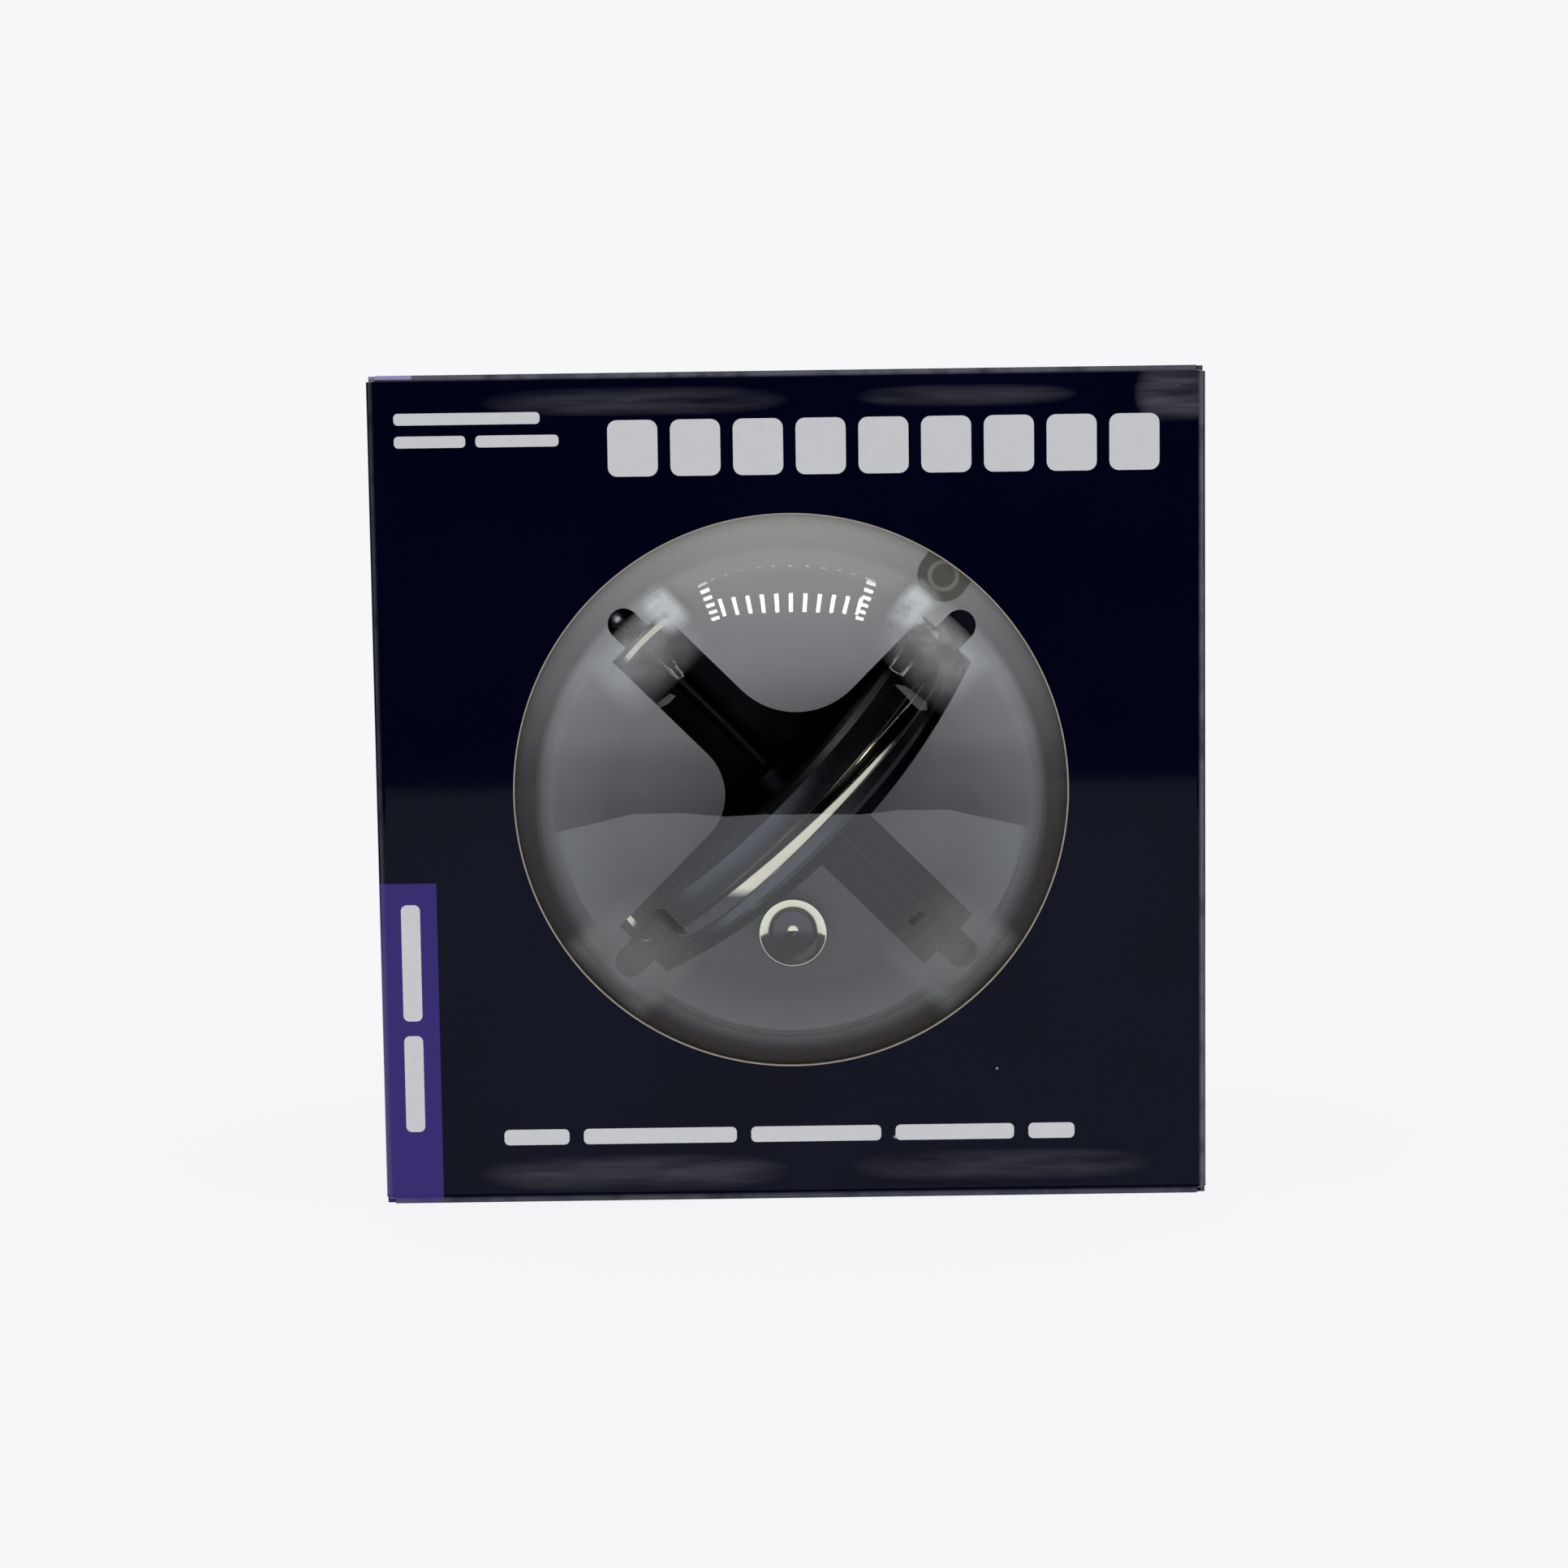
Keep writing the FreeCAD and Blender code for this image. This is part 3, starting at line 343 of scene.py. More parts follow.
def printed_card():
    material, tree, shader, place = start_material(
        "printed_grey_card", Roughness=0.55, Specular_IOR_Level=0.3
    )
    z = add(tree, "ShaderNodeSeparateXYZ", {0: place}, out=2)
    low_end, high_end = CARD_LIGHT_RAMP[0][0], CARD_LIGHT_RAMP[-1][0]
    level = add(tree, "ShaderNodeMapRange", {0: z, 1: low_end, 2: high_end})
    shade = add(tree, "ShaderNodeValToRGB", {0: level})
    ramp = shade.node.color_ramp
    ramp.interpolation = "EASE"
    while len(ramp.elements) < len(CARD_LIGHT_RAMP):
        ramp.elements.new(0.5)
    for element, (at_height, code) in zip(ramp.elements, CARD_LIGHT_RAMP):
        element.position = (at_height - low_end) / (high_end - low_end)
        element.color = colour(code)
    # painted shade: outside the dome's foot the card is dimmer, except at the top
    outside = region(tree, (from_middle(tree, place, DOME_HEIGHT), 30.0, 31.0), (z, 84.0, 66.0))
    depth = add(tree, "ShaderNodeMapRange", {0: z, 1: 44.0, 2: 62.0, 3: 0.92, 4: 0.5})
    dim = add(tree, "ShaderNodeMath", {0: outside, 1: depth}, operation="MULTIPLY")
    # and a little dimmer round the crossing of the arms, where little light gets behind it
    crossing = region(tree, (from_middle(tree, place, WINDOW_HEIGHT), 18.0, 10.0))
    dim = add(tree, "ShaderNodeMath", {0: crossing, 1: 0.18, 2: dim}, operation="MULTIPLY_ADD")
    tone = add(tree, "ShaderNodeMix", {0: dim, 6: shade, 7: colour("#2A201E")}, **MIX_COLOURS)
    grain = add(tree, "ShaderNodeTexNoise", {"Vector": place, "Scale": 2.5, "Detail": 4.0})
    speckled = add(tree, "ShaderNodeMapRange", {0: grain, 1: 0.3, 2: 0.7, 3: 0.95, 4: 1.05})
    # the grain is the card's own; the ramp and the dimming under it are painted shade
    printed = add(tree, "ShaderNodeMix", {0: 1.0, 6: tone, 7: speckled}, blend_type="MULTIPLY", **MIX_COLOURS)
    tree.links.new(printed, shader.inputs["Base Color"])
    bump = add(tree, "ShaderNodeBump", {"Height": grain, "Strength": 0.15, "Distance": 0.00002})
    tree.links.new(bump, shader.inputs["Normal"])
    return material


dress(printed_card(), "insert_card")

# %% [markdown]
# ## The tray
# The cradle behind the card is vacuum-formed from black polystyrene sheet. Forming leaves the sheet glossy
# on the outside of each bend and slightly hazy elsewhere, so its roughness wanders between the two.

# %% Formed tray
def formed_polystyrene():
    material, tree, shader, place = start_material("formed_black_polystyrene", Specular_IOR_Level=0.12)
    haze = add(tree, "ShaderNodeTexNoise", {"Vector": place, "Scale": 0.12, "Detail": 4.0})
    tone = add(tree, "ShaderNodeMix", {0: haze, 6: colour("#010110"), 7: colour("#030418")}, **MIX_COLOURS)
    tree.links.new(tone, shader.inputs["Base Color"])
    rough = add(tree, "ShaderNodeMapRange", {0: haze, 1: 0.3, 2: 0.7, 3: 0.3, 4: 0.5})
    tree.links.new(rough, shader.inputs["Roughness"])
    texture = add(tree, "ShaderNodeTexNoise", {"Vector": place, "Scale": 1.2, "Detail": 3.0})
    bump = add(tree, "ShaderNodeBump", {"Height": texture, "Strength": 0.1, "Distance": 0.0001})
    tree.links.new(bump, shader.inputs["Normal"])
    return material


dress(formed_polystyrene(), "cradle_tray")

# %% [markdown]
# ## The metals
# The two rings are polished steel strip, the small turned parts are plain steel, the flywheel is a zinc
# casting with a dark gunmetal finish, and the stand's cup is bright nickel. A metal needs a metallic value of
# 1 and a colour that is its reflection; what sets them apart is the roughness and the direction of the marks.

# %% Metals
def turned_metal(name, code, dark_code, low, high, mark_scale, bump_height):
    """A metal with fine marks: colour, roughness range, marks per millimetre and their height in metres."""
    material, tree, shader, place = start_material(name, Metallic=1.0)
    marks = add(tree, "ShaderNodeTexNoise", {"Vector": place, "Scale": mark_scale, "Detail": 5.0})
    stains = add(tree, "ShaderNodeTexNoise", {"Vector": place, "Scale": 0.15, "Detail": 3.0})
    tone = add(tree, "ShaderNodeMix", {0: stains, 6: colour(dark_code), 7: colour(code)}, **MIX_COLOURS)
    tree.links.new(tone, shader.inputs["Base Color"])
    rough = add(tree, "ShaderNodeMapRange", {0: marks, 1: 0.3, 2: 0.7, 3: low, 4: high})
    tree.links.new(rough, shader.inputs["Roughness"])
    bump = add(tree, "ShaderNodeBump", {"Height": marks, "Strength": 0.3, "Distance": bump_height})
    tree.links.new(bump, shader.inputs["Normal"])
    return material


RING_FINISH = ("#E6DFCB", "#D6CDB8", 0.08, 0.16, 1.0, 0.000003)


def ring_steel_with_painted_shade():
    """Ring steel, darkened below and above its highlight's span as painted shade where it mirrors little
    light.
    """
    material = turned_metal("ring_steel_painted_shade", *RING_FINISH)
    tree = material.node_tree
    base = tree.nodes["Principled BSDF"].inputs["Base Color"]
    height = add(tree, "ShaderNodeSeparateXYZ", {0: in_millimetres(tree)}, out=2)
    # painted shade: below 38.4 mm and above 56.5 mm the ring's colour turns dark
    painted_shade_ends = add(tree, "ShaderNodeMath",
               {0: region(tree, (height, 39.6, 38.4)), 1: region(tree, (height, 54.5, 56.5))},
               operation="MAXIMUM")
    bright = base.links[0].from_socket
    shaded_ring_tone = add(tree, "ShaderNodeMix", {0: painted_shade_ends, 6: bright, 7: colour("#38383B")}, **MIX_COLOURS)
    tree.links.new(shaded_ring_tone, base)
    return material


dress(turned_metal("polished_ring_steel", *RING_FINISH), "axle_ring")
guard_steel = ring_steel_with_painted_shade()
dress(guard_steel, "guard_ring")
dress(
    turned_metal("turned_steel", "#B9B9B9", "#A2A2A4", 0.2, 0.35, 2.0, 0.00001),
    "ring_rivets", "pivot_lock_nuts", "ball_foot", "slotted_tip",
)
dress(
    turned_metal("blued_steel", "#3C3C42", "#2C2C31", 0.3, 0.45, 2.0, 0.00001),
    "axle", "pivot_screw_upper", "pivot_screw_lower",
)
dress(
    turned_metal("gunmetal_zinc", "#55565C", "#46474D", 0.3, 0.45, 1.5, 0.00002),
    "flywheel_rim", "flywheel_web", "flywheel_hub",
)

# %% [markdown]
# The cup is turned and plated. Its lip is bright, while its hollow is painted dark and dull as painted shade
# inside the cup, with only the small seat in its middle left bright. Rings round the cup's own axis pick the
# zones. Its lip leans inward and its edges are broken, which is what shows as thin bright lines, so the cup is
# spun again from a finer section. The same could be done with a bevel, but a written section says exactly
# where each line falls.

# %% Plated cup
CUP_HEIGHT = 32.7
# the cup's section from the middle of its floor round to its foot: radius, depth behind the rim
CUP_SECTION = (
    (0.25, 1.86), (0.5, 1.75), (0.75, 1.55), (2.3, 1.4), (2.6, 1.2), (2.7, 0.8), (2.75, 0.7), (3.92, 0.05),
    (4.0, 0.0), (4.06, 0.05), (4.1, 0.25), (4.1, 1.4), (4.0, 1.5), (3.1, 1.5),
)


def plated_cup():
    material, tree, shader, place = start_material("bright_nickel", Metallic=1.0)
    radius = from_middle(tree, place, CUP_HEIGHT)
    # painted shade: the hollow is dark and dull, only its middle seat stays bright
    hollow_shade = region(tree, (radius, 2.74, 2.7), (radius, 0.55, 0.7))
    tone = add(tree, "ShaderNodeMix", {0: hollow_shade, 6: colour("#E6E6CE"), 7: colour("#4A484B")}, **MIX_COLOURS)
    tree.links.new(tone, shader.inputs["Base Color"])
    rough = add(tree, "ShaderNodeMapRange", {0: hollow_shade, 1: 0.0, 2: 1.0, 3: 0.07, 4: 0.3})
    marks = add(tree, "ShaderNodeTexNoise", {"Vector": place, "Scale": 1.0, "Detail": 5.0})
    wear = add(tree, "ShaderNodeMath", {0: marks, 1: 0.1, 2: rough}, operation="MULTIPLY_ADD")
    tree.links.new(wear, shader.inputs["Roughness"])
    bump = add(tree, "ShaderNodeBump", {"Height": marks, "Strength": 0.2, "Distance": 0.000004})
    tree.links.new(bump, shader.inputs["Normal"])
    return material


def spun_cup(material):
    """The cup turned from its section, with a lip that leans inward and a small ball seat."""
    low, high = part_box("stand_cup")
    section = [(radius * MM, low[1] + depth * MM) for radius, depth in CUP_SECTION]
    section.append((section[-1][0], high[1]))
    height = CUP_HEIGHT * MM
    shape = bmesh.new()
    verts = [shape.verts.new((radius, deep, height)) for radius, deep in section]
    edges = [shape.edges.new(pair) for pair in zip(verts, verts[1:])]
    bmesh.ops.spin(
        shape, geom=verts + edges, cent=(0, 0, height), axis=(0, 1, 0), angle=2 * math.pi, steps=96,
        use_merge=True,
    )
    bmesh.ops.holes_fill(shape, edges=[edge for edge in shape.edges if edge.is_boundary], sides=0)
    cup = new_object("turned_cup", shape, material, True)
    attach(cup, "carton")
    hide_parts("stand_cup")


nickel = plated_cup()
dress(nickel, "stand_cup")
spun_cup(nickel)

# %% [markdown]
# ## The stand
# The base and column are moulded in black ABS, a plastic that copies the grain of its mould: a fine, even
# roughness that catches the light as a soft sheen.

# %% Moulded stand
def moulded_abs():
    material, tree, shader, place = start_material("moulded_black_abs", Roughness=0.4)
    grain = add(tree, "ShaderNodeTexNoise", {"Vector": place, "Scale": 3.0, "Detail": 2.0})
    tone = add(tree, "ShaderNodeMix", {0: grain, 6: colour("#101013"), 7: colour("#17171B")}, **MIX_COLOURS)
    tree.links.new(tone, shader.inputs["Base Color"])
    bump = add(tree, "ShaderNodeBump", {"Height": grain, "Strength": 0.3, "Distance": 0.00003})
    tree.links.new(bump, shader.inputs["Normal"])
    return material


dress(moulded_abs(), "stand_base", "stand_column")

# %% [markdown]
# ## The clear dome
# The dome is formed from 0.4 mm clear PET. The CAD shell is built from a ball, a step and four small bulges,
# and its mesh is made of flat facets, which a mirror-like sheet shows at once. So the visual sheet is made
# again as a height field: rings of points whose height follows a formula, shaded smooth. It could also be
# modelled by subdividing a rough cage, but a formula keeps the true curve. Drawn sheet runs nearly straight
# down to its foot, so a power of the radius, close to a parabola, is used: its foot meets the flange at 44
# degrees, where a ball through the same crown and foot would meet it at 53. That sets what the foot mirrors.
# A sheet this thin can be one layer of faces: its shader stands for both of its sides.

# %% Dome sheet
CAP_RADIUS, CAP_RISE, STEP_RADIUS, STEP_RISE = 29.0, 14.5, 30.5, 1.0
CAP_POWER = 1.96
BULGE_START, BULGE_START_RISE, BULGE_END = 17.0, 6.2, 26.2
BULGE_SLOPE = math.atan2(BULGE_START_RISE, BULGE_END - BULGE_START)
BULGE_RADII = (4.8, 4.4, 4.8, 4.4)
# how finely the sheet is divided: spokes, rings on the cap, and the radii of the rings on the step
SPOKES, CAP_RINGS = 240, 44
STEP_RINGS = (29.3, 29.6, 29.9, 30.1, 30.2, 30.3, 30.4, 30.5, 30.6, 30.8, 31.0, 31.3)


def bulge_rise(across, up_by):
    """How far the four bulges over the ends of the cross rise above the flange, in millimetres."""
    best = 0.0
    for quarter, radius in enumerate(BULGE_RADII):
        angle = math.radians(45 + 90 * quarter)
        outward = across * math.cos(angle) + up_by * math.sin(angle)
        sideways = up_by * math.cos(angle) - across * math.sin(angle)
        if abs(sideways) >= radius:
            continue
        half = math.sqrt(radius ** 2 - sideways ** 2)
        if abs(outward - BULGE_END) < half:
            best = max(best, math.sqrt(half ** 2 - (outward - BULGE_END) ** 2))
        foot = outward - half * math.sin(BULGE_SLOPE)
        if BULGE_START < foot < BULGE_END:
            fall = (foot - BULGE_START) * math.tan(BULGE_SLOPE)
            best = max(best, BULGE_START_RISE - fall + half * math.cos(BULGE_SLOPE))
    return best


def dome_rise(across, up_by):
    """The sheet's height above its flange: cap, step with a soft edge, and bulges."""
    radius = math.hypot(across, up_by)
    cap = STEP_RISE + CAP_RISE * (1 - (radius / CAP_RADIUS) ** CAP_POWER) if radius < CAP_RADIUS else 0.0
    edge = min(max((STEP_RADIUS + 0.1 - radius) / 0.5, 0.0), 1.0)
    step = STEP_RISE * edge * edge * (3 - 2 * edge)
    return max(cap, step, bulge_rise(across, up_by))


def dome_sheet(material):
    """Rings of points from the crown out to the flange's rectangular edge."""
    low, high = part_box("window_dome")
    radii = [CAP_RADIUS * (i / CAP_RINGS) for i in range(1, CAP_RINGS + 1)] + list(STEP_RINGS)
    angles = [2 * math.pi * i / SPOKES for i in range(SPOKES)]
    shape = bmesh.new()
    crown = shape.verts.new((0, (FLANGE - dome_rise(0, 0)) * MM, DOME_HEIGHT * MM))
    rings = []
    for radius in radii:
        ring = []
        for angle in angles:
            across, up_by = radius * math.cos(angle), radius * math.sin(angle)
            spot = Vector((across, FLANGE - dome_rise(across, up_by), DOME_HEIGHT + up_by))
            ring.append(shape.verts.new(spot * MM))
        rings.append(ring)
    # the flange's edge: each spoke runs on until it meets the rectangle
    border = []
    for angle in angles:
        along_x, along_z = math.cos(angle), math.sin(angle)
        to_side = (high[0] if along_x > 0 else -low[0]) / max(abs(along_x), 1e-9)
        to_level = (high[2] - DOME_HEIGHT * MM if along_z > 0 else DOME_HEIGHT * MM - low[2])
        reach = min(to_side, to_level / max(abs(along_z), 1e-9))
        border.append(shape.verts.new((along_x * reach, FLANGE * MM, DOME_HEIGHT * MM + along_z * reach)))
    rings.append(border)
    for i in range(SPOKES):
        j = (i + 1) % SPOKES
        shape.faces.new((crown, rings[0][i], rings[0][j]))
    for inner, outer in zip(rings, rings[1:]):
        for i in range(SPOKES):
            j = (i + 1) % SPOKES
            shape.faces.new((inner[i], outer[i], outer[j], inner[j]))
    sheet = new_object("dome_sheet", shape, material, True)
    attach(sheet, "carton")
    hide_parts("window_dome")


# %% [markdown]
# Thin clear sheet hardly bends light, so its shader needs no refraction: a transparent part, and a glossy
# part whose share follows Schlick's rule for two surfaces, 8 percent face on and rising to all of it at a
# glancing angle. The flat flange and the step are hazier than the drawn dome, so they mirror less. Over the
# ends of the cross the sheet is stretched most and has turned milky, which a diffuse share shows; that share
# is raised on the upper bulges and along their upper crests as a painted highlight, and a faint pale share
# towards the dome's foot is a painted reflection.

# %% Clear sheet
# the shares of red, green and blue light that pass the sheet, and alpha
PASSES = (0.97, 0.976, 0.98, 1.0)


def haze_and_painted_highlight(tree, x, z, place):
    """Masks of the bulges over the ends of the cross and of their milky places, with a painted highlight that
    makes them strongest at the top.
    """
    wide = add(tree, "ShaderNodeMath", {0: x}, operation="ABSOLUTE")
    rise = add(tree, "ShaderNodeMath", {0: z, 1: -WINDOW_HEIGHT}, operation="ADD")
    tall = add(tree, "ShaderNodeMath", {0: rise}, operation="ABSOLUTE")
    both_ways = add(tree, "ShaderNodeMath", {0: wide, 1: tall}, operation="ADD")
    outward = add(tree, "ShaderNodeMath", {0: both_ways, 1: math.sqrt(0.5)}, operation="MULTIPLY")
    lean = add(tree, "ShaderNodeMath", {0: wide, 1: tall}, operation="SUBTRACT")
    sideways = add(tree, "ShaderNodeMath", {0: lean, 1: math.sqrt(0.5)}, operation="MULTIPLY")
    off_line = add(tree, "ShaderNodeMath", {0: sideways}, operation="ABSOLUTE")
    cloud = add(tree, "ShaderNodeTexNoise", {"Vector": place, "Scale": 0.3, "Detail": 4.0, "Distortion": 0.2})
    patchy = add(tree, "ShaderNodeMapRange", {0: cloud, 1: 0.35, 2: 0.68, 3: 0.2, 4: 0.4})
    # painted highlight: the milky share grows towards the top, where the bulges face the lamps
    upper = add(tree, "ShaderNodeMapRange", {0: rise, 1: -4.0, 2: 6.0, 3: 0.1, 4: 1.0})
    bulge = region(tree, (outward, 18.0, 22.0), (outward, 33.0, 31.5), (off_line, 7.0, 5.0))
    milky_haze_and_highlight = region(tree, (outward, 19.0, 24.5), (outward, 28.6, 26.6), (off_line, 7.0, 4.2))
    milky_haze_and_highlight = add(tree, "ShaderNodeMath", {0: milky_haze_and_highlight, 1: patchy}, operation="MULTIPLY")
    milky_haze_and_highlight = add(tree, "ShaderNodeMath", {0: milky_haze_and_highlight, 1: upper}, operation="MULTIPLY")
    # and a painted highlight along the upper side of each upper bulge, where it faces the lamps
    crest_highlight = region(tree, (sideways, -2.4, -4.4), (sideways, -7.4, -6.2), (outward, 22.6, 25.0),
                   (outward, 29.6, 27.6), (rise, 0.0, 2.0), (cloud, 0.1, 0.5))
    milky_haze_and_highlight = add(tree, "ShaderNodeMath", {0: milky_haze_and_highlight, 1: crest_highlight}, operation="MAXIMUM")
    low_share = add(tree, "ShaderNodeMapRange", {0: rise, 1: -8.0, 2: 2.0, 3: 0.15, 4: 0.0})
    return bulge, add(tree, "ShaderNodeMath", {0: bulge, 1: low_share, 2: milky_haze_and_highlight}, operation="MULTIPLY_ADD")


def clear_pet():
    material, tree = bare_material("clear_pet_sheet")
    place = in_millimetres(tree)
    x, y, z = add(tree, "ShaderNodeSeparateXYZ", {0: place}).node.outputs
    facing = add(tree, "ShaderNodeLayerWeight", {"Blend": 0.5}, out=1)
    fifth = add(tree, "ShaderNodeMath", {0: facing, 1: 5.0}, operation="POWER")
    share = add(tree, "ShaderNodeMath", {0: fifth, 1: 0.92, 2: 0.08}, operation="MULTIPLY_ADD")
    drawn = add(tree, "ShaderNodeMapRange", {0: y, 1: FLANGE - 1.1, 2: FLANGE - 2.4, 3: 0.1, 4: 1.0})
    share = add(tree, "ShaderNodeMath", {0: share, 1: drawn}, operation="MULTIPLY")
    bulge, haze = haze_and_painted_highlight(tree, x, z, place)
    flat_share = add(tree, "ShaderNodeMapRange", {0: bulge, 1: 0.0, 2: 1.0, 3: 1.0, 4: 0.04})
    share = add(tree, "ShaderNodeMath", {0: share, 1: flat_share}, operation="MULTIPLY")
    # a thin painted reflection towards the foot of the dome: a faint pale veil
    radius = from_middle(tree, place, DOME_HEIGHT)
    painted_foot_veil = region(tree, (radius, 21.0, 27.0), (radius, 29.7, 29.0))
    haze = add(tree, "ShaderNodeMath", {0: painted_foot_veil, 1: 0.07, 2: haze}, operation="MULTIPLY_ADD")
    clear = add(tree, "ShaderNodeBsdfTransparent", {"Color": PASSES})
    gloss = add(tree, "ShaderNodeBsdfGlossy", {"Roughness": 0.012})
    sheet = add(tree, "ShaderNodeMixShader", {0: share, 1: clear, 2: gloss})
    milk = add(tree, "ShaderNodeBsdfDiffuse", {"Color": colour("#C3C6C8")})
    whole = add(tree, "ShaderNodeMixShader", {0: haze, 1: sheet, 2: milk})
    to_surface(tree, whole)
    return material


pet = clear_pet()
dress(pet, "window_dome")
dome_sheet(pet)

# %% [markdown]
# ## The crowned guard ring
# The guard ring is rolled from steel strip, and rolling leaves its outer face gently crowned. That crown is
# what draws the long thin highlights along a ring: a flat face would mirror in one sheet. The section is an
# arc with four more points, spun once round the flywheel's axle.

# %% Guard ring
RING_RADIUS, RING_INSIDE, RING_HALF, RING_EDGE, CROWN = 29.0, 27.0, 1.2, 0.4, 1.35
CROWN_STEPS = 6
spin_joint = next(joint for joint in frame["joints"] if joint["name"] == "flywheel_spin")


def crowned_ring():
    axle = Vector(spin_joint["axis"]).normalized()
    middle = Vector(spin_joint["pos_m"])
    outward = axle.cross(Vector((0, 1, 0))).normalized()
    edge = math.asin(RING_HALF / CROWN)
    section = [
        (RING_RADIUS - CROWN + CROWN * math.cos(edge * i / CROWN_STEPS),
         CROWN * math.sin(edge * i / CROWN_STEPS))
        for i in range(-CROWN_STEPS, CROWN_STEPS + 1)
    ]
    section += [(RING_INSIDE + RING_EDGE, RING_HALF), (RING_INSIDE, RING_HALF - RING_EDGE)]
    section += [(RING_INSIDE, RING_EDGE - RING_HALF), (RING_INSIDE + RING_EDGE, -RING_HALF)]
    shape = bmesh.new()
    verts = [shape.verts.new(middle + (outward * out + axle * along) * MM) for out, along in section]
    edges = [shape.edges.new((verts[i], verts[(i + 1) % len(verts)])) for i in range(len(verts))]
    bmesh.ops.spin(
        shape, geom=verts + edges, cent=middle, axis=axle, angle=2 * math.pi, steps=180, use_merge=True
    )
    ring = new_object("crowned_guard_ring", shape, guard_steel, True)
    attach(ring, "carton")
    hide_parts("guard_ring")


crowned_ring()

# %% [markdown]
# ## Print
# The carton's lettering isn't copied. Its places hold plain blocks and bars of the same pale ink, so that the
# layout stays: a row of nine blocks for the heading, short bars beside it at the left, a line of bars at the
# foot and two bars on the violet band. Each is a thin raised film of ink with rounded corners.

# %% Ink films
INK = 0.02
HEADING_LEFT, HEADING_RIGHT, BLOCKS, BLOCK_GAP = -21.3, 44.4, 9, 1.5
HEADING_LOW, HEADING_HIGH = 87.7, 94.4
# bars as (left, right, low, high), and for the foot the lengths of the bars and the gap between them
UPPER_LEFT_BARS = ((-46.7, -29.3, 94.1, 95.5), (-46.7, -38.2, 91.4, 92.8), (-37.0, -27.1, 91.4, 92.8))
BAND_BARS = ((-47.3, -45.0, 8.8, 20.6), (-47.3, -45.0, 22.4, 36.6))
FOOT_LEFT, FOOT_LOW, FOOT_HIGH, FOOT_GAP = -35.4, 7.0, 8.9, 1.75
FOOT_LENGTHS = (7.9, 18.6, 15.8, 14.4, 5.6)


def screen_ink():
    # ink from a screen covers a little unevenly and dries half matt, which looks soft and pale
    material, tree, shader, place = start_material("pale_screen_ink", Roughness=0.35, Specular_IOR_Level=0.3)
    cover = add(tree, "ShaderNodeTexNoise", {"Vector": place, "Scale": 1.2, "Detail": 4.0})
    tone = add(tree, "ShaderNodeMix", {0: cover, 6: colour("#C2C3C7"), 7: colour("#CBCCCF")}, **MIX_COLOURS)
    tree.links.new(tone, shader.inputs["Base Color"])
    return material


def ink_film(name, bars, corner, material):
    """Bars of ink on the front. A bar is (left, right, low, high) in millimetres."""
    shape = bmesh.new()
    for left, right_end, low, high in bars:
        made = bmesh.ops.create_cube(shape, size=1.0)["verts"]
        size = Vector((right_end - left, INK, high - low)) * MM
        middle = Vector(((left + right_end) / 2, FRONT - INK / 2, (low + high) / 2)) * MM
        bmesh.ops.scale(shape, vec=size, verts=made)
        bmesh.ops.translate(shape, vec=middle, verts=made)
        upright = [
            edge for edge in {edge for vert in made for edge in vert.link_edges}
            if abs((edge.verts[0].co - edge.verts[1].co).y) > 0.5 * INK * MM
        ]
        bmesh.ops.bevel(
            shape, geom=upright, offset=corner * MM, segments=5, profile=0.5, affect="EDGES", material=-1
        )
    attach(new_object(name, shape, material), "carton")


ink_material = screen_ink()
pitch = (HEADING_RIGHT - HEADING_LEFT + BLOCK_GAP) / BLOCKS
heading = []
for i in range(BLOCKS):
    start = HEADING_LEFT + pitch * i
    heading.append((start, start + pitch - BLOCK_GAP, HEADING_LOW, HEADING_HIGH))
ink_film("heading_blocks", heading, 1.1, ink_material)
ink_film("upper_left_bars", UPPER_LEFT_BARS, 0.5, ink_material)
foot_bars = []
start = FOOT_LEFT
for length in FOOT_LENGTHS:
    foot_bars.append((start, start + length, FOOT_LOW, FOOT_HIGH))
    start += length + FOOT_GAP
ink_film("foot_bars", foot_bars, 0.6, ink_material)
ink_film("band_bars", BAND_BARS, 0.7, ink_material)

# %% [markdown]
# ## The tape tab
# A small round-ended tab of brownish tape holds the dome's rim to the card at the upper right. It is a film
# on the card, so one flat outline is enough; the faint ring in it is the press mark of a stud, and the
# material draws it.

# %% Tape tab
TAB_MIDDLE = (18.6, 75.4)
TAB_RADIUS, TAB_LENGTH, TAB_ANGLE = 3.1, 3.2, math.radians(54)
TAPE, ROUND_STEPS = 0.03, 24


def brown_tape():
    # thin tape lets its glue show through, which mottles its brown
    material, tree, shader, place = start_material("brown_tape", Roughness=0.4, Specular_IOR_Level=0.3)
    centre = (-TAB_MIDDLE[0], 0, -TAB_MIDDLE[1])
    centred = add(tree, "ShaderNodeVectorMath", {0: place, 1: centre}, operation="ADD")
    flat = add(tree, "ShaderNodeVectorMath", {0: centred, 1: (1, 0, 1)}, operation="MULTIPLY")
    radius = add(tree, "ShaderNodeVectorMath", {0: flat}, out=1, operation="LENGTH")
    press = region(tree, (radius, 1.3, 1.5), (radius, 2.0, 1.8))
    mottle = add(tree, "ShaderNodeTexNoise", {"Vector": place, "Scale": 0.8, "Detail": 4.0})
    tone = add(tree, "ShaderNodeMix", {0: mottle, 6: colour("#4C4A44"), 7: colour("#5B5952")}, **MIX_COLOURS)
    tone = add(tree, "ShaderNodeMix", {0: press, 6: tone, 7: colour("#76746B")}, **MIX_COLOURS)
    tree.links.new(tone, shader.inputs["Base Color"])
    return material


